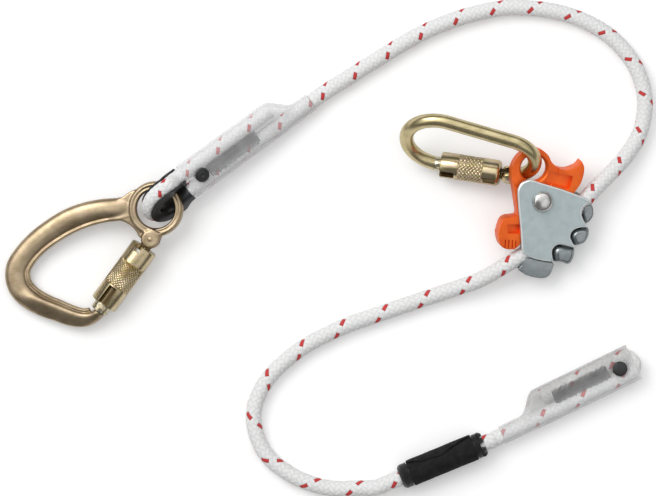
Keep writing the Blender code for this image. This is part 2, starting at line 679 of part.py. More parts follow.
def build_hook(root, paints):
    gold, bright, spring_steel, plastic = paints
    swing = empty("hook_swing_axis", hook_frame(), root)
    size = fitted(HOOK_GATE, HOOK_REACH_SHARE * HOOK_LENGTH)
    spine = bar_along(hook_stations(HOOK_SPINE_SHARES), HOOK_THICKNESS, FORGED_SQUARE_SHARE)
    arm = bar_along(hook_stations(HOOK_ARM_SHARES), size["lug_thickness"], FORGED_SQUARE_SHARE)
    pin = [share * HOOK_LENGTH for share in HOOK_PIN_SHARES]
    gate_matrix = Matrix.Translation((*pin, 0)) @ Matrix.Rotation(HOOK_GATE_DIRECTION, 4, "Z")
    half_lug = size["lug_thickness"] / 2
    body = join(spine, arm, disc(pin, size["lug_radius"], -half_lug, half_lug))
    ring = []
    up = Vector((0, 0, 1))
    for k in range(WIDE_SIDES):
        angle = math.tau * k / WIDE_SIDES
        out = Vector((math.cos(angle), math.sin(angle), 0))
        section = bar_ring(out * RING_RADIUS, out, up, RING_WIDTH, RING_THICKNESS, RING_SQUARE_SHARE)
        ring.append(section)
    body = join(body, loft(ring, closed=True))
    clear = RING_RADIUS - RING_WIDTH / 2
    body = cut(body, disc((0, 0), clear, -HOOK_THICKNESS, HOOK_THICKNESS, WIDE_SIDES))
    body = cut(body, *hinge_slot(size, pin), nose_cut(size, gate_matrix))
    body.transform(Matrix.Translation(-ring_bearing()))
    add_object("hook_body", body, gold, swing)
    turn_over = Matrix.Rotation(math.pi, 4, "X")
    gate_frame = Matrix.Translation(-ring_bearing()) @ gate_matrix @ turn_over
    gate = empty("hook_gate_axis", gate_frame, swing)
    gate_parts("hook", size, (gold, bright, spring_steel, plastic), gate)
    return swing, gate


def adjuster_frame():
    along = Vector((math.cos(ADJUSTER_DIRECTION), math.sin(ADJUSTER_DIRECTION), 0))
    flat_side = Vector((-along.y, along.x, 0))
    side = flat_side * math.cos(ADJUSTER_LEAN) + Vector((0, 0, math.sin(ADJUSTER_LEAN)))
    return frame(plan_point(ADJUSTER_PLACE, ADJUSTER_HEIGHT), along, along.cross(side))


def rope_pass(x):
    """The middle of the rope inside the adjuster, on the adjuster's own plan."""
    bow = ROPE_RISE_SHARE * ADJUSTER_SPAN * (x / (ROPE_RISE_AT_SHARE * ADJUSTER_SPAN)) ** 2
    return ROPE_PASS_SHARE * ADJUSTER_SPAN + bow


def arc_through(start, middle, end, steps):
    """Points on the quadratic arc that passes the middle point half way, without its ends."""
    control = [2 * m - (s + e) / 2 for s, m, e in zip(start, middle, end)]
    points = []
    for k in range(1, steps):
        t = k / steps
        points.append(tuple(
            (1 - t) ** 2 * s + 2 * t * (1 - t) * c + t**2 * e for s, c, e in zip(start, control, end)
        ))
    return points


def plate_outline():
    shares = list(PLATE_OUTLINE_SHARES)
    for start, middle, end in FINGER_BITES_SHARES:
        if start != shares[-1]:
            shares.append(start)
        shares += arc_through(start, middle, end, BITE_STEPS)
        shares.append(end)
    shares += PLATE_CLOSE_SHARES
    return under_rope(reversed(shares))


def build_adjuster(root, steel_grey, orange, stainless, plastic, rope_paint):
    pivot = empty("lever_pivot_axis", adjuster_frame(), root)
    half_lever = LEVER_THICKNESS / 2
    inner = half_lever + GAP
    outer = inner + PLATE_THICKNESS
    hole_at = [share * ADJUSTER_SPAN for share in EYE_HOLE_SHARES]
    bush_outer = PIVOT_RADIUS + GAP + BUSH_WALL

    lever = prism(scaled(LEVER_OUTLINE_SHARES, ADJUSTER_SPAN), -half_lever, half_lever, LEVER_BEVEL)
    flare = half_lever + OVERRUN
    mouth = EYE_HOLE_MOUTH + OVERRUN * (EYE_HOLE_MOUTH - EYE_HOLE_RADIUS) / (half_lever - EYE_HOLE_LAND)
    eye = turned([
        (-flare, 0), (-flare, mouth), (-EYE_HOLE_LAND, EYE_HOLE_RADIUS), (EYE_HOLE_LAND, EYE_HOLE_RADIUS),
        (flare, mouth), (flare, 0),
    ], WIDE_SIDES, Matrix.Translation((*hole_at, 0)) @ UPRIGHT)
    lever = cut(lever, eye, disc((0, 0), bush_outer + GAP, -flare, flare))
    lever = cut(lever, disc(hole_at, EYE_BOSS_RADIUS, EYE_BOSS_HALF, flare, WIDE_SIDES))
    lever = cut(lever, disc(hole_at, EYE_BOSS_RADIUS, -flare, -EYE_BOSS_HALF, WIDE_SIDES))
    for shares in (HORN_POCKET_SHARES, TAB_POCKET_SHARES):
        lever = cut(lever, prism(scaled(shares, ADJUSTER_SPAN), half_lever - POCKET_DEPTH, flare))
    add_object("cam_lever", lever, orange, pivot)

    bush = turned([
        (-half_lever, PIVOT_RADIUS + GAP), (half_lever, PIVOT_RADIUS + GAP),
        (half_lever, bush_outer), (-half_lever, bush_outer),
    ], TURNED_SIDES, UPRIGHT)
    add_object("pivot_bush", bush, plastic, pivot)

    outline = plate_outline()
    front = prism(outline, inner, outer, PLATE_BEVEL)
    back = prism(outline, -outer, -inner, PLATE_BEVEL)
    pivot_hole = disc((0, 0), PIVOT_RADIUS + GAP, -outer - OVERRUN, outer + OVERRUN)
    front = cut(front, pivot_hole)
    back_room = disc(hole_at, EYE_HOLE_MOUTH, -outer - OVERRUN, 0, WIDE_SIDES)
    back = cut(back, pivot_hole, back_room)
    sink = PLATE_THICKNESS / 2
    below = -outer - OVERRUN
    seat = turned([
        (below, 0), (below, PIVOT_SINK_RADIUS + GAP), (-outer + sink, PIVOT_SINK_RADIUS + GAP),
        (-outer + sink, 0),
    ], TURNED_SIDES, UPRIGHT)
    back = cut(back, seat)

    rivet = turned([
        (-outer, 0), (-outer, PIVOT_SINK_RADIUS), (-outer + sink - GAP, PIVOT_SINK_RADIUS),
        (-outer + sink - GAP, PIVOT_RADIUS), (outer + GAP, PIVOT_RADIUS), (outer + GAP, PIVOT_HEAD_RADIUS),
        *[
            (outer + GAP + PIVOT_HEAD_HEIGHT * math.sin(a), PIVOT_HEAD_RADIUS * math.cos(a))
            for a in (math.radians(22.5 * k) for k in (1, 2, 3))
        ],
        (outer + GAP + PIVOT_HEAD_HEIGHT, 0),
    ], TURNED_SIDES, UPRIGHT)
    add_object("pivot_rivet", rivet, stainless, pivot)

    block = grip_block(half_lever)
    shank = SCREW_RADIUS_SHARE * ADJUSTER_SPAN
    head = SCREW_HEAD_SHARE * ADJUSTER_SPAN
    for k, at in enumerate(under_rope(SCREW_SHARES)):
        place = Matrix.Translation((*at, 0)) @ UPRIGHT
        tip = inner + SCREW_BITE
        head_top = -outer + SCREW_HEAD_HEIGHT
        screw = turned([
            (-outer, 0), (-outer, head), (head_top, shank), (tip, shank), (tip, 0),
        ], PIN_SIDES, place)
        socket = disc(at, SCREW_SOCKET_RADIUS, below, -outer + SCREW_SOCKET_DEPTH, SOCKET_SIDES)
        add_object("frame_screw_%d" % (k + 1), cut(screw, socket), stainless, pivot)
        hole = turned([
            (below, 0), (below, head + GAP), (-outer, head + GAP),
            (head_top, shank + GAP), (tip + GAP, shank + GAP), (tip + GAP, 0),
        ], PIN_SIDES, place)
        block = cut(block, hole.copy())
        back = cut(back, hole.copy())
        front = cut(front, hole)
    add_object("front_plate", front, steel_grey, pivot)
    add_object("back_plate", back, steel_grey, pivot)
    add_object("grip_block", block, steel_grey, pivot)

    start = GRIPPED_FROM_SHARE * ADJUSTER_SPAN
    stop = GRIPPED_TO_SHARE * ADJUSTER_SPAN
    count = round((stop - start) / GRIPPED_STEP)
    places = [start + (stop - start) * k / count for k in range(count + 1)]
    route = [Vector((x, rope_pass(x), 0)) for x in places]
    rope_tube("rope_in_adjuster", led_route(route, GRIPPED_STEP), ROPE_DIAMETER, rope_paint, pivot)
    return pivot


def grip_block(half):
    """The block behind the rope: a rope channel on one side and finger lobes on the other."""
    clear = ROPE_DIAMETER / 2 + GAP
    right = (BLOCK_LOBE_SHARES[0][0] + BLOCK_LOBE_SHARES[0][2]) * ADJUSTER_SPAN
    left = BLOCK_HEEL_SHARES[-1][0] * ADJUSTER_SPAN
    steps = 10
    inner_side = []
    for k in range(steps + 1):
        x = right + (left - right) * k / steps
        inner_side.append((x, rope_pass(x) - clear))
    lobes = []
    for x, y, r in reversed(BLOCK_LOBE_SHARES):
        for k in range(LOBE_STEPS):
            angle = math.radians(-150.0 + 160.0 * k / (LOBE_STEPS - 1))
            lobes.append((x + r * math.cos(angle), y + r * math.sin(angle)))
    outer_side = under_rope(list(reversed(BLOCK_HEEL_SHARES)) + lobes)
    return prism(inner_side + outer_side, -half, half, BLOCK_BEVEL_SHARE * ADJUSTER_SPAN)


def build_oval(pivot, paints):
    hole_at = [share * ADJUSTER_SPAN for share in EYE_HOLE_SHARES]
    place = pivot.matrix_basis @ Vector((*hole_at, 0))
    along = Vector((math.cos(OVAL_DIRECTION), math.sin(OVAL_DIRECTION), -math.tan(OVAL_SLOPE)))
    along.normalize()
    flat_side = Vector((math.sin(OVAL_DIRECTION), -math.cos(OVAL_DIRECTION), 0))
    side = flat_side * math.cos(OVAL_LEAN) + flat_side.cross(along) * math.sin(OVAL_LEAN)
    oval = empty("oval_swing_axis", frame(place, along, along.cross(side)), pivot.parent)
    far_radius = OVAL_SPACING / 2
    near_radius = far_radius * OVAL_TAPER_SHARE
    rise = far_radius * OVAL_RISE_SHARE
    near = Vector((math.sqrt(near_radius**2 - rise**2), rise))
    far = Vector((OVAL_LENGTH - OVAL_WIRE - far_radius + near.x - near_radius, rise))
    taper = math.asin((far_radius - near_radius) / (far.x - near.x))
    side_angle = math.pi / 2 + taper
    path = []
    for middle, radius, first, last in (
        (near, near_radius, math.tau - side_angle - OVAL_PIN_TURN, side_angle),
        (far, far_radius, side_angle, -side_angle),
    ):
        for k in range(BEND_STEPS + 1):
            angle = first + (last - first) * k / BEND_STEPS
            path.append(middle + radius * Vector((math.cos(angle), math.sin(angle))))
    pin = path[0]
    reach = (path[-1] - pin).length + OVAL_NOSE_PAST
    size = fitted(OVAL_GATE, reach)
    body = bar_along([(*place, OVAL_WIRE) for place in path], OVAL_WIRE, WIRE_SQUARE_SHARE)
    half_lug = size["lug_thickness"] / 2
    body = join(body, disc(pin, size["lug_radius"], -half_lug, half_lug))
    gate_turn = math.atan2(path[-1].y - pin.y, path[-1].x - pin.x)
    gate_matrix = Matrix.Translation((*pin, 0)) @ Matrix.Rotation(gate_turn, 4, "Z")
    body = cut(body, *hinge_slot(size, pin), nose_cut(size, gate_matrix))
    gold, bright, spring_steel, plastic = paints
    add_object("oval_body", body, gold, oval)
    gate = empty("oval_gate_axis", gate_matrix, oval)
    gate_parts("oval", size, (gold, bright, spring_steel, plastic), gate)
    return oval, gate


def cover_frame_eye(bearing):
    """The eye cover's frame: origin at its loop end, +X to its mouth, main strand at -Y."""
    length = sum(EYE_COVER.values())
    mouth = SEWN_DIAMETER / 2 + GAP + MOUTH_WALL + GAP
    drop = EYE_HEIGHT - math.sin(EYE_ROLL) * STRAND_SPACING / 2 - mouth
    slope = math.asin(drop / length)
    along = Vector((math.cos(EYE_DIRECTION), math.sin(EYE_DIRECTION), 0))
    left = Vector((-along.y, along.x, 0))
    origin = bearing + along * EYE_TO_RING + left * EYE_SIDE_SHIFT
    origin.z = EYE_HEIGHT
    axis = along * math.cos(slope) - Vector((0, 0, math.sin(slope)))
    side = left * math.cos(EYE_ROLL) + Vector((0, 0, math.sin(EYE_ROLL)))
    return frame(origin, axis, axis.cross(side))


def sewn_cover(sizes, side):
    """A cover round two strands, stepped down to the main strand at its mouth."""
    main = side * STRAND_SPACING / 2
    tail = -main
    wide = SEWN_DIAMETER / 2 + THREAD_FIT + THREAD_THICKNESS + GAP
    narrow = SEWN_DIAMETER / 2 + GAP
    step = sizes["wide"] + sizes["step"]
    end = step + sizes["narrow"]
    waist = main + (tail - main) * WAIST_SHARE
    neck = main + (tail - main) * NECK_SHARE
    half_step = sizes["wide"] + sizes["step"] / 2
    stations = (
        (0, tail, wide), (sizes["wide"], tail, wide), (half_step, waist, (wide + narrow) / 2),
        (step, neck, narrow), (end, neck, narrow),
    )
    rings = [stadium(x, main, other, radius + COVER_WALL) for x, other, radius in stations]
    rings += [stadium(x, main, other, radius) for x, other, radius in reversed(stations)]
    cover = loft(rings, closed=True)
    reach = wide + COVER_WALL + OVERRUN
    return cut(cover, disc((RIVET_PLACE, 0), RIVET_SHANK_RADIUS + GAP, -reach, reach, SMALL_SIDES))


def stitching(start):
    """The band of thread round both strands."""
    inner = SEWN_DIAMETER / 2 + THREAD_FIT
    outer = inner + THREAD_THICKNESS
    half = STRAND_SPACING / 2
    end = start + STITCH_LENGTH
    corners = ((start, outer), (end, outer), (end, inner), (start, inner))
    return loft([stadium(x, -half, half, radius) for x, radius in corners], closed=True)


def snap_rivet(prefix, plastic, parent):
    """A two-piece rivet through both walls of a cover, between the strands."""
    wall = SEWN_DIAMETER / 2 + THREAD_FIT + THREAD_THICKNESS + GAP + COVER_WALL + GAP
    place = Matrix.Translation((RIVET_PLACE, 0, 0)) @ UPRIGHT
    tip = wall + RIVET_SOCKET_DEPTH - GAP
    low = -wall - RIVET_FLANGE_THICKNESS
    stud = turned([
        (low, 0), (low, RIVET_CAP_RADIUS - RIVET_RIM), (-wall, RIVET_CAP_RADIUS),
        (-wall, RIVET_SHANK_RADIUS), (tip, RIVET_SHANK_RADIUS), (tip, 0),
    ], TURNED_SIDES, place)
    add_object(prefix + "_rivet_stud", stud, plastic, parent)
    top = wall + RIVET_CAP_THICKNESS
    socket = wall + RIVET_SOCKET_DEPTH
    cap = turned([
        (socket, 0), (socket, RIVET_SHANK_RADIUS + GAP), (wall, RIVET_SHANK_RADIUS + GAP),
        (wall, RIVET_CAP_RADIUS), (top - RIVET_RIM, RIVET_CAP_RADIUS),
        (top, RIVET_CAP_RADIUS - RIVET_RIM), (top, 0),
    ], TURNED_SIDES, place)
    add_object(prefix + "_rivet_cap", cap, plastic, parent)


def eye_route(cover, loop):
    """The rope through the eye: mouth, main strand, round the thimble and back as the tail."""
    half = STRAND_SPACING / 2
    length = sum(EYE_COVER.values())
    tail_end = EYE_COVER["wide"] - TAIL_INSET
    points = [cover @ Vector((length * share, -half, 0)) for share in EYE_MAIN_SHARES]
    legs = [loop @ Vector((EYE_LEG_START, sign * EYE_LOOP_HALF, 0)) for sign in (-1, 1)]
    spreads = [
        (cover @ Vector((-EYE_TO_RING / 3, sign * half, 0))).lerp(leg, EYE_SPREAD_SHARE)
        for sign, leg in zip((-1, 1), legs)
    ]
    points += [spreads[0], legs[0]]
    for k in range(7):
        angle = math.radians(-90.0 + 30.0 * k)
        points.append(loop @ Vector((
            EYE_LOOP_CENTRE + EYE_LOOP_HALF * math.cos(angle), EYE_LOOP_HALF * math.sin(angle), 0
        )))
    points += [legs[1], spreads[1]]
    points += [cover @ Vector((length * share, half, 0)) for share in EYE_TAIL_SHARES]
    points.append(cover @ Vector((tail_end, half, 0)))
    return smooth_route(points, SEWN_STEP)


def build_thimble(route, loop, plastic, root):
    """A channel on the inner side of the rope, round the bow and along both legs."""
    inner = SEWN_DIAMETER / 2 + GAP
    outer = inner + THIMBLE_WALL
    back = loop.inverted()
    normal = loop.to_3x3() @ Vector((0, 0, 1))
    centre = loop @ Vector((EYE_LOOP_CENTRE, 0, 0))
    held = [k for k, point in enumerate(route) if (back @ point).x > -THIMBLE_BACK]
    rings = []
    for k in held:
        ahead = (route[k + 1] - route[k - 1]).normalized()
        inward = normal.cross(ahead).normalized()
        if inward.dot(centre - route[k]) < 0:
            inward = -inward
        across = ahead.cross(inward)
        arc = [THIMBLE_WRAP * (i / 5 - 1) for i in range(11)]
        ring = [route[k] + outer * (inward * math.cos(a) + across * math.sin(a)) for a in arc]
        ring += [route[k] + inner * (inward * math.cos(a) + across * math.sin(a)) for a in reversed(arc)]
        rings.append(ring)
    add_object("eye_thimble", loft(rings), plastic, root)


def build_eye(root, hook_bearing, sheath, clear_plastic, black, thread):
    cover = cover_frame_eye(hook_bearing)
    along = Vector((math.cos(EYE_DIRECTION), math.sin(EYE_DIRECTION), 0))
    left = Vector((-along.y, along.x, 0))
    lean = left * math.cos(EYE_LOOP_LEAN) + Vector((0, 0, math.sin(EYE_LOOP_LEAN)))
    loop = frame(hook_bearing, -along, (-along).cross(lean))
    route = eye_route(cover, loop)
    rope_tube("rope_eye", route, SEWN_DIAMETER, sheath, root, 2)
    build_thimble(route, loop, black, root)
    holder = empty("eye_cover_frame", cover, root)
    add_object("eye_cover", sewn_cover(EYE_COVER, -1), clear_plastic, holder)
    add_object("eye_stitching", stitching(EYE_STITCH_START), thread, holder)
    snap_rivet("eye", black, holder)
    return cover


def build_end(root, sheath, clear_plastic, black, thread):
    along = Vector((math.cos(END_DIRECTION), math.sin(END_DIRECTION), 0))
    cover = frame(plan_point(END_PLACE, END_HEIGHT), along, Vector((0, 0, 1)))
    half = STRAND_SPACING / 2
    length = sum(END_COVER.values())
    tail_end = END_COVER["wide"] - TAIL_INSET
    points = [cover @ Vector((length * share, half, 0)) for share in END_MAIN_SHARES]
    for k in range(7):
        angle = math.radians(90.0 + 30.0 * k)
        points.append(cover @ Vector((END_LOOP_INSET + half * math.cos(angle), half * math.sin(angle), 0)))
    points += [cover @ Vector((length * share, -half, 0)) for share in END_TAIL_SHARES]
    points.append(cover @ Vector((tail_end, -half, 0)))
    rope_tube("rope_end_loop", smooth_route(points, SEWN_STEP), SEWN_DIAMETER, sheath, root, 2)
    holder = empty("end_cover_frame", cover, root)
    add_object("end_cover", sewn_cover(END_COVER, 1), clear_plastic, holder)
    add_object("end_stitching", stitching(END_STITCH_START), thread, holder)
    snap_rivet("end", black, holder)
    return cover


def stop_frame():
    start = plan_point(STOP_START, STOP_HEIGHT)
    end = plan_point(STOP_END, STOP_HEIGHT)
    return frame(start, end - start, Vector((0, 0, 1))), (end - start).length


def build_stop(root, rubber, leather):
    matrix, length = stop_frame()
    holder = empty("stop_frame", matrix, root)
    bore = ROPE_DIAMETER / 2 + GAP
    core = bore + STOP_CORE_WALL
    collar = STOP_COLLAR_LENGTH
    mouth = bore + STOP_MOUTH_WALL
    taper = collar * COLLAR_TAPER_SHARE
    profile = [
        (0, bore), (0, mouth), (taper, STOP_COLLAR_RADIUS), (collar, STOP_COLLAR_RADIUS),
        (collar, core), (length - collar, core), (length - collar, STOP_COLLAR_RADIUS),
        (length - taper, STOP_COLLAR_RADIUS), (length, mouth), (length, bore),
    ]
    add_object("stop_core", turned(profile), rubber, holder)
    start = collar + GAP
    end = length - collar - GAP
    wrap = turned([
        (start, core + GAP), (start, STOP_WRAP_RADIUS), (end, STOP_WRAP_RADIUS), (end, core + GAP),
    ])
    add_object("stop_wrap", wrap, leather, holder)


def build_free_rope(root, pivot, eye_cover, end_cover, sheath):
    """The two free stretches, each meeting the rope held in the covers and the adjuster."""
    eye_mouth = sum(EYE_COVER.values())
    end_mouth = sum(END_COVER.values())
    half = STRAND_SPACING / 2
    adjuster = pivot.matrix_basis
    right = GRIPPED_TO_SHARE * ADJUSTER_SPAN
    left = GRIPPED_FROM_SHARE * ADJUSTER_SPAN
    upper = [eye_cover @ Vector((eye_mouth + GAP + lead, -half, 0)) for lead in (0, MOUTH_LEAD)]
    upper += [plan_point((x, y), ROPE_DIAMETER / 2 + lift) for x, y, lift in UPPER_ROUTE]
    for lead in (GRIPPED_STEP, 0):
        x = right + GAP + lead
        upper.append(adjuster @ Vector((x, rope_pass(x), 0)))
    rope_tube("rope_upper", led_route(upper, ROPE_STEP), ROPE_DIAMETER, sheath, root)
    lower = []
    for lead in (0, GRIPPED_STEP):
        x = left - GAP - lead
        lower.append(adjuster @ Vector((x, rope_pass(x), 0)))
    lower += [plan_point((x, y), ROPE_DIAMETER / 2 + lift) for x, y, lift in LOWER_ROUTE]
    stop, length = stop_frame()
    lower += [stop @ Vector((-lead, 0, 0)) for lead in STOP_LEADS]
    lower += [stop @ Vector((length / 2, 0, 0)), stop @ Vector((length + STOP_LEAVE, 0, 0))]
    lower += [end_cover @ Vector((end_mouth + GAP + lead, half, 0)) for lead in (MOUTH_LEAD, 0)]
    rope_tube("rope_lower", led_route(lower, STOPPED_STEP), ROPE_DIAMETER, sheath, root)


def world_bounds(names_left_out):
    bpy.context.view_layer.update()
    graph = bpy.context.evaluated_depsgraph_get()
    low = Vector((math.inf,) * 3)
    high = -low
    for item in bpy.context.scene.objects:
        if item.type == "EMPTY" or item.name in names_left_out:
            continue
        shape = item.evaluated_get(graph)
        mesh = shape.to_mesh()
        for vertex in mesh.vertices:
            place = shape.matrix_world @ vertex.co
            low = Vector(map(min, low, place))
            high = Vector(map(max, high, place))
        shape.to_mesh_clear()
    return low, high


def build():
    clear_scene()
    sheath = paint("rope_sheath", (0.82, 0.81, 0.78), 0.85)
    thread = paint("stitching_thread", (0.05, 0.05, 0.06), 0.8)
    clear_plastic = paint("cover_plastic", (0.80, 0.82, 0.84), 0.35)
    black = paint("black_plastic", (0.03, 0.03, 0.035), 0.4)
    rubber = paint("stop_rubber", (0.04, 0.04, 0.045), 0.35)
    leather = paint("stop_wrap", (0.06, 0.06, 0.06), 0.8)
    gold = paint("zinc_gold", (0.62, 0.50, 0.24), 0.32, 1.0)
    bright = paint("zinc_bright", (0.72, 0.64, 0.42), 0.28, 1.0)
    spring_steel = paint("spring_steel", (0.55, 0.56, 0.58), 0.3, 1.0)
    grey = paint("grey_alloy", (0.42, 0.48, 0.50), 0.45, 0.8)
    orange = paint("orange_anodised", (0.85, 0.20, 0.03), 0.4, 0.5)
    stainless = paint("stainless", (0.70, 0.69, 0.68), 0.22, 1.0)
    bush_plastic = paint("bush_plastic", (0.70, 0.68, 0.60), 0.5)

    root = empty("lanyard", Matrix.Identity(4), None)
    paints = (gold, bright, spring_steel, bush_plastic)
    hook, hook_gate = build_hook(root, paints)
    pivot = build_adjuster(root, grey, orange, stainless, bush_plastic, sheath)
    oval, oval_gate = build_oval(pivot, paints)
    bearing = hook.matrix_basis.translation.copy()
    eye_cover = build_eye(root, bearing, sheath, clear_plastic, black, thread)
    end_cover = build_end(root, sheath, clear_plastic, black, thread)
    build_stop(root, rubber, leather)
    build_free_rope(root, pivot, eye_cover, end_cover, sheath)

    low, high = world_bounds(("rope_upper", "rope_lower"))
    root.location = (-(low.x + high.x) / 2, -(low.y + high.y) / 2, -low.z)
    bpy.context.view_layer.update()
    for item in (hook, hook_gate, pivot, oval, oval_gate):
        matrix = item.matrix_world
        print("AXIS", item.name, [round(v, 6) for v in matrix.translation])
        for name, column in zip("xyz", matrix.to_3x3().col):
            print("AXIS   ", name, [round(v, 6) for v in column])


build()
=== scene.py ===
"""Tree climbing lanyard laid out on a pale floor and seen from straight above."""
import json
import math

import bmesh
import bpy
from mathutils import Matrix, Vector
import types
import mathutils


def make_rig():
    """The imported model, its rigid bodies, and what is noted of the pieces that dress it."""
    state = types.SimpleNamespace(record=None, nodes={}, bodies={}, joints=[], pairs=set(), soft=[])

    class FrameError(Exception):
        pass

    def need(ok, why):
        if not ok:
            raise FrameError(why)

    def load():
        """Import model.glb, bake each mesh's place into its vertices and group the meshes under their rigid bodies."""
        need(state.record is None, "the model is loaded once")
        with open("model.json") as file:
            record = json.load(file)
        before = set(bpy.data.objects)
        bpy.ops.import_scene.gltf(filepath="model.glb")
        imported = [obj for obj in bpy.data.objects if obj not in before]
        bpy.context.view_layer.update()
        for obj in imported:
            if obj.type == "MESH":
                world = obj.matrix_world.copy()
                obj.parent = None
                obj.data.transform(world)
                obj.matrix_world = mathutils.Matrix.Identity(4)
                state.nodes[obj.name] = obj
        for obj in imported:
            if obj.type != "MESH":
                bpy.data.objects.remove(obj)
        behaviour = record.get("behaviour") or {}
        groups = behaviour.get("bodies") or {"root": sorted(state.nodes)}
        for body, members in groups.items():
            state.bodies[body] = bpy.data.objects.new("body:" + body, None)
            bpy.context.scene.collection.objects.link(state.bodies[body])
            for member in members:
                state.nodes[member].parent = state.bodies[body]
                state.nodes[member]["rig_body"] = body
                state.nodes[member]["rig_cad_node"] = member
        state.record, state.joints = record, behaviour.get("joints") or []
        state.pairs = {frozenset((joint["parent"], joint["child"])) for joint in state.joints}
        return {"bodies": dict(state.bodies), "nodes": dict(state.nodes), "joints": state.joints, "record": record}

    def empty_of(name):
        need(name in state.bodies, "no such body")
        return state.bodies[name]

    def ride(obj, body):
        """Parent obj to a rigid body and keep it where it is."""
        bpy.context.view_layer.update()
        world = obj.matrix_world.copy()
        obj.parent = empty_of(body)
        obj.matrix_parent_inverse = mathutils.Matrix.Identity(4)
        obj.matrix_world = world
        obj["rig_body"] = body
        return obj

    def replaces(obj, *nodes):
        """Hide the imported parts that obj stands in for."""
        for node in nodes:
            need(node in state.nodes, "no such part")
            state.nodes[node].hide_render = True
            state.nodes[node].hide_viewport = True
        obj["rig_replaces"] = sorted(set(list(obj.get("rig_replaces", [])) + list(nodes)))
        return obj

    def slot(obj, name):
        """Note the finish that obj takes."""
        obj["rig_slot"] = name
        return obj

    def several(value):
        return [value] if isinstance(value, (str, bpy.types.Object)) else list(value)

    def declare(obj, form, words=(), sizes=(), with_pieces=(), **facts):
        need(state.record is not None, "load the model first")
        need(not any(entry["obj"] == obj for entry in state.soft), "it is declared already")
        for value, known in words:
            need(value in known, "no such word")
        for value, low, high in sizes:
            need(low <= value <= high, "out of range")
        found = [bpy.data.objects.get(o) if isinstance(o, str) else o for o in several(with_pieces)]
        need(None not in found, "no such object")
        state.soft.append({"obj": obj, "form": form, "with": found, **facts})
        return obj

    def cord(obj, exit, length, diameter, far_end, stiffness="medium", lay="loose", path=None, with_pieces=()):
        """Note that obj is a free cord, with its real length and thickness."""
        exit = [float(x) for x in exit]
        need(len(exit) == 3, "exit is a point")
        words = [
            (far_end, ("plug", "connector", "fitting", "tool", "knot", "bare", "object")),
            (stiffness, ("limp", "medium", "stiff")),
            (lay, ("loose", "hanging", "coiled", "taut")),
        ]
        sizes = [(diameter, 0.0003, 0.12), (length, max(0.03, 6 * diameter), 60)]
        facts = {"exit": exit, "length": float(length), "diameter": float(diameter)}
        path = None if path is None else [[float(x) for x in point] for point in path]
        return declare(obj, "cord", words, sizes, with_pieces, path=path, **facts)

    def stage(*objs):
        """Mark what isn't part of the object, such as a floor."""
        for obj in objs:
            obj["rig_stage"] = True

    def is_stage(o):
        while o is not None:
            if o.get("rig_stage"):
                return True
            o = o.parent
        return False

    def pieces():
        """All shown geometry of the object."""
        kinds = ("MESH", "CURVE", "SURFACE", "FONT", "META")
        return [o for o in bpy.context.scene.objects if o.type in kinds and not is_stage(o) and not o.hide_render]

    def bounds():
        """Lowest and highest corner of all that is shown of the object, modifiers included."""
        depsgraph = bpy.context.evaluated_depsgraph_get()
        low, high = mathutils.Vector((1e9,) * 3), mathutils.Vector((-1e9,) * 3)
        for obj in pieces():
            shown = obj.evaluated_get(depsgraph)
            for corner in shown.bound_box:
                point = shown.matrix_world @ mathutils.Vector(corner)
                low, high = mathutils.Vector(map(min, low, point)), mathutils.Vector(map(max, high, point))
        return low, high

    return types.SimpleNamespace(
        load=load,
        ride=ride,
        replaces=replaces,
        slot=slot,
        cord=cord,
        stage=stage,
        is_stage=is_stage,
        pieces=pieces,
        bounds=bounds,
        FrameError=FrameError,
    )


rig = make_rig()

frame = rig.load()
cad_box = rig.bounds()

# Camera: straight above the middle of the laid-out lanyard, far off with a long lens, so that
# the high pieces are hardly larger than the rope on the floor.
CAMERA_PLACE = (0.001938, 0.03234, 4.0)
FRAME_WIDTH = 0.492
camera = bpy.data.objects.new("camera", bpy.data.cameras.new("camera"))
camera.data.sensor_width = 36.0
camera.data.lens = camera.data.sensor_width * CAMERA_PLACE[2] / FRAME_WIDTH
camera.location = CAMERA_PLACE
bpy.context.scene.collection.objects.link(camera)
bpy.context.scene.camera = camera

# Rope, the two free stretches: a white round braid of eight strands each way, two over and two
# under, with one red strand. One runs from the eye to the adjuster, one from there to the end.
ROPE_RADIUS = 0.006
ROPE_SIDES = 64
ROPE_STEP = 0.00055
BRAID_RELIEF = 0.00042
BRAID_STRANDS = 8
UPPER_PITCH = 0.0288
LOWER_PITCH = 0.0335
UPPER_LINE = (
    (-10.8, 141.6, 7.4), (-3.6, 146.9, 6.7), (18.9, 161.2, 6.1), (43.6, 176.6, 6.1), (70.0, 192.1, 6.1),
    (96.4, 203.3, 6.1), (124.9, 210.8, 6.1), (148.2, 212.3, 6.1), (179.7, 207.5, 6.1),
    (208.9, 194.0, 6.1), (229.2, 173.0, 6.1), (238.8, 147.8, 6.1), (236.7, 122.3, 6.7),
    (226.2, 102.8, 9.3), (214.2, 89.3, 12.7), (198.9, 73.9, 15.7), (190.8, 65.0, 15.3),
)
LOWER_LINE = (
    (152.9, 31.5, 15.6), (143.0, 24.5, 16.1), (117.4, 9.5, 11.7), (97.2, 2.0, 8.3), (74.8, -5.3, 6.3),
    (43.2, -16.0, 6.1), (11.4, -27.5, 6.1), (-18.5, -43.3, 6.1), (-41.4, -63.4, 6.1),
    (-52.1, -83.5, 6.1), (-52.8, -102.7, 6.1), (-43.1, -123.7, 6.1), (-22.1, -139.4, 6.1),
    (3.1, -147.4, 6.4), (27.4, -147.3, 8.5), (37.6, -147.0, 10.5), (48.7, -142.5, 10.5),
    (87.4, -126.5, 10.5), (122.5, -112.1, 10.5), (124.2, -111.8, 8.5), (132.3, -107.9, 8.5),
)
SHEATH_WHITE = (0.86, 0.86, 0.85, 1.0)
SHEATH_SHADE = (0.60, 0.61, 0.63, 1.0)
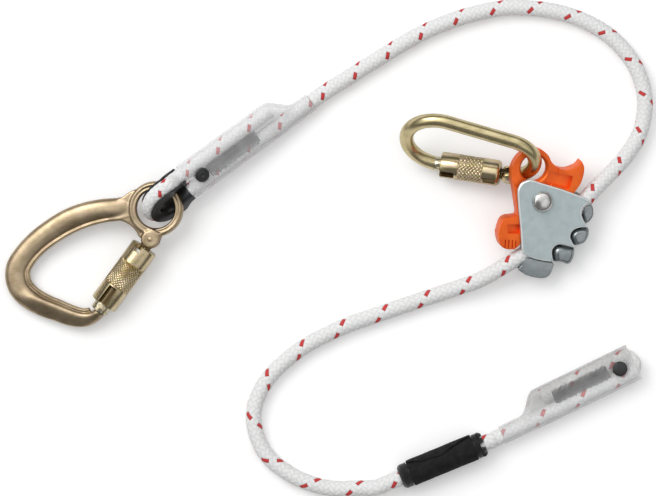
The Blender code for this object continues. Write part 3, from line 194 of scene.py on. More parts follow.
TRACER_RED = (0.60, 0.040, 0.040, 1.0)


def even_line(points, step):
    """Even steps along the smooth curve through points given in millimetres."""
    places = [Vector(point) / 1000 for point in points]
    places = [2 * places[0] - places[1], *places, 2 * places[-1] - places[-2]]
    fine = []
    for before, start, end, after in zip(places, places[1:], places[2:], places[3:]):
        for k in range(24):
            t = k / 24
            pull = end - before
            bend = 2 * before - 5 * start + 4 * end - after
            twist = after - before + 3 * (start - end)
            fine.append(0.5 * (2 * start + pull * t + bend * t * t + twist * t**3))
    fine.append(places[-2])
    reach = [0.0]
    for start, end in zip(fine, fine[1:]):
        reach.append(reach[-1] + (end - start).length)
    count = round(reach[-1] / step)
    line = []
    index = 0
    for k in range(count + 1):
        target = reach[-1] * k / count
        while index < len(fine) - 2 and reach[index + 1] < target:
            index += 1
        share = (target - reach[index]) / (reach[index + 1] - reach[index])
        line.append(fine[index].lerp(fine[index + 1], min(1.0, share)))
    return line, reach[-1]


def untwisted(line):
    """Two directions across the line at each of its points, carried along without a twist."""
    across = Vector((0, 0, 1))
    pairs = []
    for k in range(len(line)):
        ahead = (line[min(k + 1, len(line) - 1)] - line[max(k - 1, 0)]).normalized()
        across = (across - ahead * across.dot(ahead)).normalized()
        pairs.append((across, ahead.cross(across)))
    return pairs


def weave_height(around, along, pitch):
    """How far the braid's surface stands out, from 0 between the strands to 1 on their crowns."""
    a = BRAID_STRANDS * (around + along / pitch)
    b = BRAID_STRANDS * (around - along / pitch)
    i = math.floor(a)
    j = math.floor(b)
    if (i - j) % 4 < 2:
        side = a - i
        run = ((b - i + 1) % 4) / 2
    else:
        side = b - j
        run = ((a - j - 2) % 4) / 2
    return math.sqrt(max(0.0, 4 * side * (1 - side))) * max(0.0, 4 * run * (1 - run)) ** 0.35


def skin(name, columns, rows, place):
    """A closed tube: a grid placed by its share round and its share along, seam welded, ends filled."""
    bm = bmesh.new()
    bm.loops.layers.uv.new("UVMap")
    bmesh.ops.create_grid(bm, x_segments=columns, y_segments=rows, size=0.5, calc_uvs=True)
    for vert in bm.verts:
        vert.co = place(vert.co.x + 0.5, vert.co.y + 0.5)
    bmesh.ops.remove_doubles(bm, verts=bm.verts, dist=0.000005)
    bmesh.ops.holes_fill(bm, edges=[edge for edge in bm.edges if edge.is_boundary], sides=0)
    bmesh.ops.recalc_face_normals(bm, faces=bm.faces)
    return made(name, bm)


def made(name, bm, smooth_under=40.0):
    """The object of a finished mesh, smooth but for its edges sharper than the angle."""
    mesh = bpy.data.meshes.new(name)
    bm.to_mesh(mesh)
    bm.free()
    mesh.shade_smooth()
    mesh.set_sharp_from_angle(angle=math.radians(smooth_under))
    piece = bpy.data.objects.new(name, mesh)
    bpy.context.scene.collection.objects.link(piece)
    return piece


def rope(name, points, radius, pitch, turn, ahead=0.0):
    """A braided rope along the points, and its line and length; ahead moves its pattern along."""
    line, length = even_line(points, ROPE_STEP)
    pairs = untwisted(line)
    rows = len(line) - 1

    def place(around, along):
        k = round(along * rows)
        up, side = pairs[k]
        angle = math.tau * around
        high = weave_height(around + turn, along * length - ahead, pitch)
        reach = radius - BRAID_RELIEF * (1 - high)
        return line[k] + reach * (up * math.cos(angle) + side * math.sin(angle))

    piece = skin(name, ROPE_SIDES, rows, place)
    layer = piece.data.uv_layers["UVMap"]
    for item in layer.uv:
        item.vector = (item.vector[0] + turn, item.vector[1] * length - ahead)
    return piece, line, length


def node(tree, kind, links=None, **settings):
    """A new node; links gives its inputs values or other nodes' outputs."""
    item = tree.nodes.new("ShaderNode" + kind)
    for name, value in settings.items():
        setattr(item, name, value)
    for key, value in (links or {}).items():
        if isinstance(value, bpy.types.NodeSocket):
            tree.links.new(value, item.inputs[key])
        else:
            item.inputs[key].default_value = value
    return item


def maths(tree, operation, *values):
    """The result of a Math node on values or outputs."""
    return node(tree, "Math", dict(enumerate(values)), operation=operation).outputs[0]


def new_group(name, ins, outs):
    """A node group with sockets given as (kind, name), and its input and output nodes."""
    group = bpy.data.node_groups.new(name, "ShaderNodeTree")
    for way, sockets in (("INPUT", ins), ("OUTPUT", outs)):
        for kind, socket in sockets:
            group.interface.new_socket(socket, in_out=way, socket_type="NodeSocket" + kind)
    return group, group.nodes.new("NodeGroupInput"), group.nodes.new("NodeGroupOutput")


def braid_group():
    """The braid's pattern from a rope's UV map, where V is metres along the rope."""
    ins = (("Vector", "UV"), ("Float", "Pitch"))
    outs = (("Float", "Height"), ("Float", "Tracer"), ("Float", "Yarn"))
    tree, start, end = new_group("braid", ins, outs)
    parts = node(tree, "SeparateXYZ", {0: start.outputs["UV"]}).outputs
    turns = maths(tree, "DIVIDE", parts[1], start.outputs["Pitch"])
    a = maths(tree, "MULTIPLY", maths(tree, "ADD", parts[0], turns), BRAID_STRANDS)
    b = maths(tree, "MULTIPLY", maths(tree, "SUBTRACT", parts[0], turns), BRAID_STRANDS)
    i = maths(tree, "FLOOR", a)
    j = maths(tree, "FLOOR", b)
    cell = maths(tree, "FLOORED_MODULO", maths(tree, "SUBTRACT", i, j), 4.0)
    top = maths(tree, "LESS_THAN", cell, 1.5)
    run_s = maths(tree, "FLOORED_MODULO", maths(tree, "ADD", maths(tree, "SUBTRACT", b, i), 1.0), 4.0)
    run_z = maths(tree, "FLOORED_MODULO", maths(tree, "SUBTRACT", maths(tree, "SUBTRACT", a, j), 2.0), 4.0)
    side = node(tree, "Mix", {
        0: top, 2: maths(tree, "SUBTRACT", b, j), 3: maths(tree, "SUBTRACT", a, i),
    }).outputs[0]
    run = node(tree, "Mix", {0: top, 2: run_z, 3: run_s}).outputs[0]
    run = maths(tree, "MULTIPLY", run, 0.5)

    def hump(value, power):
        back = maths(tree, "SUBTRACT", 1.0, value)
        whole = maths(tree, "MULTIPLY", maths(tree, "MULTIPLY", value, back), 4.0)
        return maths(tree, "POWER", maths(tree, "MAXIMUM", whole, 0.0), power)

    height = maths(tree, "MULTIPLY", hump(side, 0.5), hump(run, 0.35))
    tree.links.new(height, end.inputs["Height"])
    strand = maths(tree, "FLOORED_MODULO", i, float(BRAID_STRANDS))
    tracer = maths(tree, "MULTIPLY", top, maths(tree, "LESS_THAN", strand, 0.5))
    tree.links.new(tracer, end.inputs["Tracer"])
    ridges = maths(tree, "ABSOLUTE", maths(tree, "SINE", maths(tree, "MULTIPLY", side, 4 * math.pi)))
    tree.links.new(ridges, end.inputs["Yarn"])
    return tree


def material(name, **values):
    """A new material and its tree and shader, with constants set on the shader's sockets."""
    item = bpy.data.materials.new(name)
    item.use_nodes = True
    shader = item.node_tree.nodes["Principled BSDF"]
    for key, value in values.items():
        shader.inputs[key.replace("_", " ")].default_value = value
    return item, item.node_tree, shader


BRAID = braid_group()


def sheath_material(name, pitch):
    """White polyester braid with a red tracer, with painted shade in its grooves between the strands."""
    item, tree, shader = material(name)
    uv = node(tree, "UVMap", uv_map="UVMap").outputs[0]
    braid = node(tree, "Group", node_tree=BRAID)
    tree.links.new(uv, braid.inputs["UV"])
    braid.inputs["Pitch"].default_value = pitch
    place = node(tree, "TexCoord").outputs["Object"]
    cloud = node(tree, "TexNoise", {"Vector": place, "Scale": 60.0, "Detail": 3.0}).outputs[0]
    fuzz = node(tree, "TexNoise", {"Vector": place, "Scale": 2600.0, "Detail": 2.0}).outputs[0]
    # Painted shade: the white and the red are mixed towards grey and dark red in the grooves between the strands.
    lit = maths(tree, "POWER", braid.outputs["Height"], 0.55)
    lit = maths(tree, "MULTIPLY", lit, maths(tree, "ADD", maths(tree, "MULTIPLY", cloud, 0.2), 0.9))
    white = node(tree, "Mix", {0: lit, 6: SHEATH_SHADE, 7: SHEATH_WHITE}, data_type="RGBA").outputs[2]
    shaded_red = (TRACER_RED[0] * 0.45, TRACER_RED[1] * 0.5, TRACER_RED[2] * 0.5, 1.0)
    red = node(tree, "Mix", {0: lit, 6: shaded_red, 7: TRACER_RED}, data_type="RGBA").outputs[2]
    colour = node(tree, "Mix", {0: braid.outputs["Tracer"], 6: white, 7: red}, data_type="RGBA").outputs[2]
    tree.links.new(colour, shader.inputs["Base Color"])
    tree.links.new(maths(tree, "ADD", maths(tree, "MULTIPLY", fuzz, 0.2), 0.6), shader.inputs["Roughness"])
    relief = maths(tree, "ADD", maths(tree, "MULTIPLY", braid.outputs["Yarn"], 0.5), fuzz)
    bump = node(tree, "Bump", {"Height": relief, "Distance": 0.00012, "Strength": 0.6})
    tree.links.new(bump.outputs[0], shader.inputs["Normal"])
    return item


upper_sheath = sheath_material("sheath_upper", UPPER_PITCH)
lower_sheath = sheath_material("sheath_lower", LOWER_PITCH)


def free_cord(piece, line, length, carried):
    """Declares a free stretch of rope, with the pieces that it carries."""
    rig.cord(
        piece, exit=line[0], length=length, diameter=2 * ROPE_RADIUS, far_end="object",
        stiffness="medium", lay="loose", path=[list(place) for place in line[::8]] + [list(line[-1])],
        with_pieces=carried,
    )


upper_rope, line, length = rope("braid_upper", UPPER_LINE, ROPE_RADIUS, UPPER_PITCH, -0.027, 0.0085)
lower_rope, lower_line, lower_length = rope("braid_lower", LOWER_LINE, ROPE_RADIUS, LOWER_PITCH, 0.419)
for piece, cad, paint in ((upper_rope, "rope_upper", upper_sheath), (lower_rope, "rope_lower", lower_sheath)):
    piece.data.materials.append(paint)
    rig.ride(piece, "lanyard")
    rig.replaces(piece, cad)
    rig.slot(piece, "rope_sheath")
free_cord(upper_rope, line, length, [])

# Steel hook, body: a forging with a ring at one end for the rope's eye, a broad rounded spine with
# a raised bead along its inner edge, and a nose. The ring, the spine and the short arm that holds
# the gate's hinge run into one another with the soft fillets of a forging.
HOOK_THICKNESS = 10.8
HOOK_SPINE = (
    (14.6, -9.5, 14.6), (17.4, -10.9, 14.8), (25.5, -13.0, 15.6), (35.8, -17.4, 16.4), (48.0, -21.0, 17.2),
    (61.5, -22.9, 17.6), (76.0, -22.6, 17.2), (90.0, -20.7, 16.8), (103.0, -16.5, 16.8),
    (112.6, -10.4, 17.4), (116.9, 0.0, 17.6), (114.9, 10.4, 17.0), (109.0, 20.6, 16.0),
    (101.6, 29.5, 15.1), (94.5, 37.9, 14.4), (87.5, 43.6, 12.8), (81.0, 45.3, 10.8), (74.0, 44.3, 9.4),
)
HOOK_ARM = ((7.8, 14.6, 11.6), (11.0, 16.5, 11.8), (14.5, 17.9, 11.8))
HOOK_ROOT = (
    (2.0, -18.5), (7.0, -20.4), (12.0, -20.6), (17.0, -20.0), (23.0, -20.4), (27.0, -20.9), (26.0, -15.0),
    (18.0, -11.0), (12.0, -11.0), (4.0, -15.5),
)
HOOK_WEB = (
    (13.0, -13.5), (22.0, -15.0), (35.0, -12.5), (34.5, -8.6), (27.5, -5.0), (23.0, 1.0), (21.2, 7.5),
    (20.9, 13.5), (16.0, 18.5), (9.0, 16.0), (12.0, 10.0), (16.0, 0.0), (15.0, -7.0),
)
HOOK_PIN = (14.5, 17.86)
HOOK_GATE_TURN = math.radians(24.4)
HOOK_REACH = 67.0
HOOK_SLEEVE_END = 60.4
VOXEL = 0.00045


def framed(origin, x_axis, y_axis):
    """Turns millimetres on a piece's own plan into the row frame's metres."""
    x = Vector(x_axis).normalized()
    z = x.cross(Vector(y_axis)).normalized()
    turn = Matrix((x, z.cross(x), z)).transposed().to_4x4()
    return Matrix.Translation(origin) @ turn @ Matrix.Scale(0.001, 4)


def swept(stations, height, columns, shift=0.0, width=None, square=0.72, step=0.8):
    """A bar in the XY plane through stations (x, y, width), shift to the left of its middle line."""
    line, length = even_line([(x, y, wide) for x, y, wide in stations], step / 1000)
    line = [place * 1000 for place in line]
    rows = len(line) - 1
    bm = bmesh.new()
    bmesh.ops.create_grid(bm, x_segments=columns, y_segments=rows, size=0.5)
    for vert in bm.verts:
        angle = math.tau * (vert.co.x + 0.5)
        k = round((vert.co.y + 0.5) * rows)
        ahead = line[min(k + 1, rows)] - line[max(k - 1, 0)]
        left = Vector((-ahead.y, ahead.x, 0)).normalized()
        wide = (line[k].z if width is None else width) / 2
        offset = shift(line[k].z) if callable(shift) else shift
        c = math.cos(angle)
        s = math.sin(angle)
        out = wide * math.copysign(abs(c) ** square, c)
        rise = height / 2 * math.copysign(abs(s) ** square, s)
        vert.co = Vector((line[k].x, line[k].y, 0)) + left * (offset + out) + Vector((0, 0, rise))
    bmesh.ops.remove_doubles(bm, verts=bm.verts, dist=0.0005)
    bmesh.ops.holes_fill(bm, edges=[edge for edge in bm.edges if edge.is_boundary], sides=0)
    bmesh.ops.recalc_face_normals(bm, faces=bm.faces)
    return bm


def turned(profile, steps=48, closed=True):
    """A profile of (along X, radius) spun about X."""
    bm = bmesh.new()
    verts = [bm.verts.new((x, 0, radius)) for x, radius in profile]
    ends = verts[1:] + verts[:1] if closed else verts[1:]
    edges = [bm.edges.new(pair) for pair in zip(verts, ends)]
    bmesh.ops.spin(
        bm, geom=verts + edges, cent=(0, 0, 0), axis=(1, 0, 0), angle=math.tau, steps=steps,
        use_merge=True, use_duplicate=False,
    )
    bmesh.ops.remove_doubles(bm, verts=bm.verts, dist=0.0005)
    bmesh.ops.recalc_face_normals(bm, faces=bm.faces)
    return bm


def moved(bm, matrix):
    """The same bmesh after a transform, its faces still outwards."""
    bmesh.ops.transform(bm, matrix=matrix, verts=bm.verts)
    bmesh.ops.recalc_face_normals(bm, faces=bm.faces)
    return bm


def on_axis_z(x=0.0, y=0.0, z=0.0):
    """Stands what was turned about X upright on a place of the plan."""
    return Matrix.Translation((x, y, z)) @ Matrix.Rotation(math.radians(-90), 4, "Y")


def slab(outline, low, high, bevel=0.0, segments=3):
    """A closed outline in the XY plane made solid, with its rims bevelled."""
    bm = bmesh.new()
    face = bm.faces.new([bm.verts.new((x, y, low)) for x, y in outline])
    grown = bmesh.ops.extrude_face_region(bm, geom=[face])["geom"]
    risen = [item for item in grown if isinstance(item, bmesh.types.BMVert)]
    bmesh.ops.translate(bm, verts=risen, vec=(0, 0, high - low))
    bmesh.ops.recalc_face_normals(bm, faces=bm.faces)
    if bevel:
        rims = [e for e in bm.edges if abs(e.verts[0].co.z - e.verts[1].co.z) < 0.01]
        bmesh.ops.bevel(
            bm, geom=rims, offset=bevel, offset_type="OFFSET", segments=segments, profile=0.5,
            affect="EDGES", clamp_overlap=True, material=-1,
        )
    return bm


def flowing(points, corners, parts=6):
    """A closed outline through the points, smooth but for the numbered corners."""
    count = len(points)
    places = [Vector((x, y, 0)) for x, y in points]
    outline = []
    for k in range(count):
        start, end = places[k], places[(k + 1) % count]
        before = 2 * start - end if k in corners else places[k - 1]
        after = 2 * end - start if (k + 1) % count in corners else places[(k + 2) % count]
        for i in range(parts):
            t = i / parts
            pull = end - before
            bend = 2 * before - 5 * start + 4 * end - after
            twist = after - before + 3 * (start - end)
            place = 0.5 * (2 * start + pull * t + bend * t * t + twist * t**3)
            outline.append((place.x, place.y))
    return outline


def joined(*parts):
    """One bmesh that holds them all."""
    whole = parts[0]
    for part in parts[1:]:
        mesh = bpy.data.meshes.new("part")
        part.to_mesh(mesh)
        part.free()
        whole.from_mesh(mesh)
        bpy.data.meshes.remove(mesh)
    return whole


def worked(bm, steps):
    """The bmesh after modifiers given as (kind, {setting: value or bmesh})."""
    base = made("work", bm)
    tools = []
    for kind, settings in steps:
        step = base.modifiers.new("step", kind)
        for name, value in settings.items():
            if isinstance(value, bmesh.types.BMesh):
                value = made("tool", value)
                tools.append(value)
            setattr(step, name, value)
    bpy.context.view_layer.update()
    mesh = bpy.data.meshes.new_from_object(base.evaluated_get(bpy.context.evaluated_depsgraph_get()))
    for item in (base, *tools):
        bpy.data.objects.remove(item, do_unlink=True)
    result = bmesh.new()
    result.from_mesh(mesh)
    bpy.data.meshes.remove(mesh)
    return result


def cut(bm, *tools):
    """The bmesh less the tools."""
    return worked(bm, [("BOOLEAN", {"operation": "DIFFERENCE", "object": tool}) for tool in tools])


def melted(bm, smooth, voxel):
    """Overlapping solids melted into one skin with soft fillets."""
    bm = worked(bm, [("REMESH", {"mode": "VOXEL", "voxel_size": voxel})])
    for _ in range(smooth):
        bmesh.ops.smooth_vert(
            bm, verts=bm.verts, factor=0.5, use_axis_x=True, use_axis_y=True, use_axis_z=True
        )
    return bm


def sector(inner, outer, half_angle, height):
    """The outline of part of a ring about the origin, made solid."""
    outline = []
    for k in range(13):
        angle = half_angle * (k / 6 - 1)
        outline.append((outer * math.cos(angle), outer * math.sin(angle)))
    outline += [(inner * math.cos(half_angle), inner * math.sin(half_angle))]
    outline += [(inner * math.cos(half_angle), -inner * math.sin(half_angle))]
    return slab(outline, -height, height)


def finished(name, bm, frame, paint, body, cad, slot, smooth_under=40.0):
    """A piece of the object from its bmesh in millimetres, in place of its CAD node."""
    moved(bm, frame)
    piece = made(name, bm, smooth_under)
    piece.data.materials.clear()
    piece.data.materials.append(paint)
    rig.ride(piece, body)
    if cad:
        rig.replaces(piece, cad)
    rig.slot(piece, slot)
    return piece


def wear_group():
    """Slow clouds, a fine grain and faint streaks along X, from Object coordinates."""
    outs = (("Float", "Clouds"), ("Float", "Grain"), ("Float", "Streaks"))
    tree, start, end = new_group("wear", (("Vector", "Place"), ("Float", "Size")), outs)
    size = start.outputs["Size"]
    for name, share, detail, stretch in (
        ("Clouds", 0.12, 3.0, (1, 1, 1)), ("Grain", 3.0, 2.0, (1, 1, 1)), ("Streaks", 1.0, 2.0, (0.12, 1, 1)),
    ):
        place = node(tree, "Mapping", {"Vector": start.outputs["Place"], "Scale": stretch}).outputs[0]
        scale = maths(tree, "MULTIPLY", size, share)
        noise = node(tree, "TexNoise", {"Vector": place, "Scale": scale, "Detail": detail}).outputs[0]
        tree.links.new(noise, end.inputs[name])
    return tree


WEAR = wear_group()


def plated_metal(name, light, dark, tint, roughness, grain, size=900.0):
    """Metal with a plated or blasted finish: two shades in clouds, a tint in streaks, and a grain."""
    item, tree, shader = material(name, Metallic=1.0)
    place = node(tree, "TexCoord").outputs["Object"]
    wear = node(tree, "Group", {"Place": place, "Size": size}, node_tree=WEAR).outputs
    spread = node(tree, "MapRange", {0: wear["Clouds"], 1: 0.35, 2: 0.65}).outputs[0]
    ground = node(tree, "Mix", {0: spread, 6: dark, 7: light}, data_type="RGBA").outputs[2]
    share = node(tree, "MapRange", {0: wear["Streaks"], 1: 0.42, 2: 0.68, 4: 0.75}).outputs[0]
    colour = node(tree, "Mix", {0: share, 6: ground, 7: tint}, data_type="RGBA").outputs[2]
    tree.links.new(colour, shader.inputs["Base Color"])
    rough = maths(tree, "ADD", maths(tree, "MULTIPLY", wear["Grain"], 0.16), roughness - 0.08)
    tree.links.new(rough, shader.inputs["Roughness"])
    bump = node(tree, "Bump", {"Height": wear["Grain"], "Distance": grain, "Strength": 0.5})
    tree.links.new(bump.outputs[0], shader.inputs["Normal"])
    return item


forged_gold = plated_metal(
    "forged_gold", (0.52, 0.42, 0.265, 1), (0.33, 0.26, 0.15, 1), (0.48, 0.34, 0.26, 1), 0.32, 0.0002
)
HOOK_FRAME = framed(
    (-0.126537, 0.061590, 0.017692), (-0.868756, -0.485531, -0.097583), (0.487256, -0.873232, 0.006915)
)
HOOK_GATE_FRAME = framed(
    (-0.130440, 0.038953, 0.016400), (-0.589874, -0.802901, -0.086011), (-0.802623, 0.594663, -0.046609)
)

rim = turned([
    (-4.0, 15.0), (-3.0, 14.4), (0.0, 14.25), (3.0, 14.4), (4.0, 15.0), (4.4, 15.8), (3.9, 16.7),
    (0.0, 17.4), (-3.9, 16.7), (-4.4, 15.8),
], 96)
lip = turned([
    (-3.4, 16.9), (-4.5, 17.8), (-4.5, 19.0), (-3.4, 20.2), (0.0, 20.9), (3.4, 20.2), (4.5, 19.0),
    (4.5, 17.8), (3.4, 16.9), (0.0, 16.4),
], 96)
lug = turned([(-5.3, 0), (-5.3, 5.9), (-4.4, 7.0), (4.4, 7.0), (5.3, 5.9), (5.3, 0)], 48)
spine = swept([(x, y, wide - 1.4) for x, y, wide in HOOK_SPINE], HOOK_THICKNESS, 48, shift=-2.2, square=0.82)
for vert in spine.verts:
    vert.co.z *= min(1.0, 0.5 + 0.5 * max(0.0, vert.co.x - 13.0) / 20.0)
    leaning = min(1.0, max(0.0, (vert.co.y - 4.0) / 16.0))
    outwards = ((vert.co.x - 97.0) * 0.68 + (vert.co.y - 35.0) * 0.73) / 7.5
    vert.co.z *= 1 - 0.5 * leaning * max(-0.5, min(1.0, outwards + 0.2))
hook = joined(
    spine,
    swept(HOOK_SPINE[1:-1], 7.0, 24, shift=lambda wide: wide / 2 - 1.6, width=3.3, square=1.0),
    swept(HOOK_ARM, 10.6, 36, square=0.55),
    slab(flowing(HOOK_WEB, ()), -3.2, 3.2, 1.2), slab(flowing(HOOK_ROOT, ()), -3.0, 3.0, 1.2),
    moved(rim, on_axis_z()), moved(lip, on_axis_z()), moved(lug, on_axis_z(*HOOK_PIN)),
)
hook = moved(melted(moved(hook, Matrix.Scale(0.001, 4)), 7, VOXEL), Matrix.Scale(1000, 4))
eye_bore = turned([(-9, 0), (-9, 14.1), (9, 14.1), (9, 0)], 96)
tongue_slot = turned([(-2.6, 0), (-2.6, 8.6), (2.6, 8.6), (2.6, 0)], 48)
pin_bore = turned([(-9, 0), (-9, 1.95), (9, 1.95), (9, 0)], 32)
nose_room = sector(HOOK_SLEEVE_END, HOOK_REACH + 0.3, math.radians(9), 14)
on_pin = Matrix.Translation((*HOOK_PIN, 0)) @ Matrix.Rotation(HOOK_GATE_TURN, 4, "Z")
hook = cut(
    hook, moved(eye_bore, on_axis_z()), moved(tongue_slot, on_axis_z(*HOOK_PIN)),
    moved(pin_bore, on_axis_z(*HOOK_PIN)), moved(nose_room, on_pin),
)
finished("hook_forging", hook, HOOK_FRAME, forged_gold, "hook", "hook_body", "zinc_gold", 50)

# Gates of the steel hook and of the oval: a turned steel gate on a hinge pin, and round it the
# knurled barrel that locks it, pushed towards the nose by a spring. Both are zinc plated in a
# greener gold than the forging. The springs, bushes and lock pins inside keep their CAD shape.
barrel_gold = plated_metal(
    "barrel_gold", (0.64, 0.56, 0.33, 1), (0.46, 0.39, 0.19, 1), (0.70, 0.51, 0.43, 1), 0.2, 0.00005
)


def gate_gold(name, frame_of, mouth):
    """The gate's plating: bright on the head outside the barrel's mouth, with painted shade on its part inside the
    barrel, seen through the slots.
    """
    item = plated_metal(
        name, (0.76, 0.70, 0.52, 1), (0.55, 0.48, 0.30, 1), (0.70, 0.62, 0.50, 1), 0.2, 0.00003
    )
    tree = item.node_tree
    shader = tree.nodes["Principled BSDF"]
    clean = shader.inputs["Base Color"].links[0].from_socket
    axis = frame_of.to_3x3() @ Vector((1000, 0, 0))
    place = node(tree, "TexCoord").outputs["Object"]
    reach = node(tree, "VectorMath", {0: place, 1: axis}, operation="DOT_PRODUCT").outputs["Value"]
    # Painted shade: the part of the gate inside the barrel's mouth is painted dark brown.
    start = axis.dot(frame_of.translation) + mouth / 1000
    inside = node(tree, "MapRange", {0: reach, 1: start - 0.001, 2: start + 0.0005}).outputs[0]
    colour = node(tree, "Mix", {0: inside, 6: (0.13, 0.095, 0.05, 1), 7: clean}, data_type="RGBA").outputs[2]
    tree.links.new(colour, shader.inputs["Base Color"])
    return item


pin_steel = plated_metal(
    "pin_steel", (0.62, 0.62, 0.60, 1), (0.48, 0.48, 0.47, 1), (0.60, 0.58, 0.52, 1), 0.3, 0.00003
)
spring_wire = plated_metal(
    "spring_wire", (0.45, 0.45, 0.44, 1), (0.33, 0.33, 0.33, 1), (0.42, 0.38, 0.32, 1), 0.35, 0.00003
)
KNURL_DEPTH = 0.9


def barrel(start, end, bore, core, lip, outer, band, teeth, round_end):
    """The locking barrel about X: chamfered ends, a knurled band between two grooves, a bore."""
    low, high = (start + (end - start) * share for share in band)
    rows = round((high - low) / 0.4)
    profile = [(start, core + 0.3), (start, outer - round_end)]
    for k in range(1, 6):
        angle = math.pi / 2 * k / 6
        profile.append((start + round_end * (1 - math.cos(angle)), outer - round_end * (1 - math.sin(angle))))
    profile += [(start + round_end, outer), (low - 0.6, outer)]
    profile += [(low - 0.5, outer - 0.5), (low - 0.1, outer - 0.5)]
    profile += [(low + (high - low) * k / rows, outer) for k in range(rows + 1)]
    profile += [(high + 0.1, outer - 0.5), (high + 0.5, outer - 0.5), (high + 0.6, outer)]
    profile += [(end - 1.0, outer), (end - 0.3, outer - 0.35), (end, outer - 1.1), (end, bore)]
    profile += [(start + lip, bore), (start + lip, core + 0.3)]
    bm = turned(profile, teeth * 6)
    for vert in bm.verts:
        reach = math.hypot(vert.co.y, vert.co.z)
        if low - 0.01 <= vert.co.x <= high + 0.01 and abs(reach - outer) < 0.01:
            turn = teeth * math.atan2(vert.co.y, vert.co.z) / math.tau
            along = teeth * (vert.co.x - low) / (math.tau * outer)
            heights = [1 - abs(2 * ((turn + sign * along) % 1) - 1) for sign in (-1, 1)]
            edge = min(1.0, (vert.co.x - low) / 0.4, (high - vert.co.x) / 0.4)
            grown = (outer + 0.12 * edge - KNURL_DEPTH * edge * (1 - min(heights))) / reach
            vert.co.y *= grown
            vert.co.z *= grown
    return bm


def turned_slot(low, high, width, inner, turn):
    """A cutter for a long slot with rounded corners through the barrel's wall."""
    half = width / 2
    corner = 0.8
    outline = []
    for x, y, first in ((high, half, 0), (low, half, 90), (low, -half, 180), (high, -half, 270)):
        for k in range(5):
            angle = math.radians(first + 22.5 * k)
            middle = (x - math.copysign(corner, x - (low + high) / 2), y - math.copysign(corner, y))
            outline.append((middle[0] + corner * math.cos(angle), middle[1] + corner * math.sin(angle)))
    return moved(slab(outline, inner, 20), Matrix.Rotation(math.radians(turn), 4, "X"))


def gate_shaft(start, core, head_start, head, reach, tongue_radius, tongue, nose_notch, turn):
    """The gate about X, from the tongue round its hinge pin to the head that meets the nose."""
    dome = math.asin(head / reach)
    profile = [(start, 0), (start, core - 0.5), (start + 0.5, core)]
    profile += [(head_start - 0.6, core), (head_start, head)]
    profile += [(reach - 3.4, head), (reach - 3.2, head - 0.5)]
    profile += [(reach - 2.8, head - 0.5), (reach - 2.6, head)]
    for k in (4, 3, 2, 1):
        angle = dome * k / 4
        profile.append((reach * math.cos(angle), reach * math.sin(angle) - 0.25 * (k == 4)))
    profile += [(reach, 0)]
    shaft = turned(profile, 64)
    root = start + 2
    outline = [(root, -tongue_radius * 0.8), (root, tongue_radius * 0.8)]
    outline += [
        (tongue_radius * math.cos(math.radians(a)), tongue_radius * math.sin(math.radians(a)))
        for a in range(90, 271, 12)
    ]
    lobe = slab(outline, -tongue / 2, tongue / 2, 0.5)
    shaft = worked(shaft, [("BOOLEAN", {"operation": "UNION", "object": lobe})])
    if nose_notch:
        shaft = cut(shaft, turned_slot(*nose_notch, head - 1.6, turn))
    return shaft


def hinge_pin(radius, half):
    """A riveted pin along Z with slightly domed ends."""
    pin = turned([
        (-half - 0.35, 0), (-half - 0.3, radius * 0.5), (-half, radius), (half, radius),
        (half + 0.3, radius * 0.5), (half + 0.35, 0),
    ], 32)
    return moved(pin, on_axis_z())


hook_barrel = barrel(7.6, 60.4, 7.0, 5.0, 3.0, 10.5, (0.29, 0.68), 27, 1.2)
hook_barrel = cut(hook_barrel, turned_slot(44.6, 62.0, 6.4, 5.0, 184), turned_slot(5.0, 13.4, 5.6, 5.0, 196))
finished(
    "hook_barrel", hook_barrel, HOOK_GATE_FRAME, barrel_gold,
    "hook_sleeve", "hook_locking_sleeve", "zinc_gold",
)
hook_gate = gate_shaft(7.6, 5.0, 46.0, 6.7, HOOK_REACH, 5.0, 4.6, (60.9, 63.4, 3.6), 184)
hook_gate_gold = gate_gold("hook_gate_gold", HOOK_GATE_FRAME, HOOK_SLEEVE_END)
finished(
    "hook_gate_bar", hook_gate, HOOK_GATE_FRAME, hook_gate_gold, "hook_gate_set", "hook_gate", "zinc_bright"
)
hook_pin = hinge_pin(1.9, 4.8)
finished("hook_pin", hook_pin, HOOK_GATE_FRAME, forged_gold, "hook", "hook_hinge_pin", "spring_steel")

# Oval carabiner: a round steel bar bent to an oval and zinc plated in a yellower gold, with the
# same kind of gate. It runs through the hole of the adjuster's lever.
OVAL_FRAME = framed(
    (0.154397, 0.092282, 0.029837), (-0.975576, 0.21628, -0.038388), (0.0969, 0.580574, 0.808421)
)
OVAL_GATE_FRAME = framed(
    (0.137088, 0.087077, 0.017071), (-0.980334, 0.152254, -0.125551), (-0.009126, 0.600551, 0.799534)
)
OVAL_WIRE = 10.5
OVAL_BENDS = ((19.87, 5.2, 20.54, 259.85, 96.15), (70.83, 5.2, 26.0, 96.15, -96.15))
OVAL_PIN = (16.25, -15.02)
OVAL_GATE_TURN = math.radians(-6.2)
OVAL_REACH = 56.1
OVAL_SLEEVE_END = 51.7
oval_gold = plated_metal(
    "oval_gold", (0.70, 0.60, 0.33, 1), (0.52, 0.44, 0.22, 1), (0.70, 0.58, 0.38, 1), 0.25, 0.00006
)
bend = []
for x, y, radius, first, last in OVAL_BENDS:
    for k in range(21):
        angle = math.radians(first + (last - first) * k / 20)
        bend.append((x + radius * math.cos(angle), y + radius * math.sin(angle), OVAL_WIRE))
side = [Vector(place) for place in (bend[20], bend[21])]
bend[21:21] = [tuple(side[0].lerp(side[1], k / 5)) for k in range(1, 5)]
oval = swept(bend, OVAL_WIRE, 48, square=1.0)
lug = turned([(-5.3, 0), (-5.3, 4.4), (-4.5, 5.2), (4.5, 5.2), (5.3, 4.4), (5.3, 0)], 48)
oval = worked(oval, [("BOOLEAN", {"operation": "UNION", "object": moved(lug, on_axis_z(*OVAL_PIN))})])
tongue_slot = turned([(-2.4, 0), (-2.4, 5.7), (2.4, 5.7), (2.4, 0)], 48)
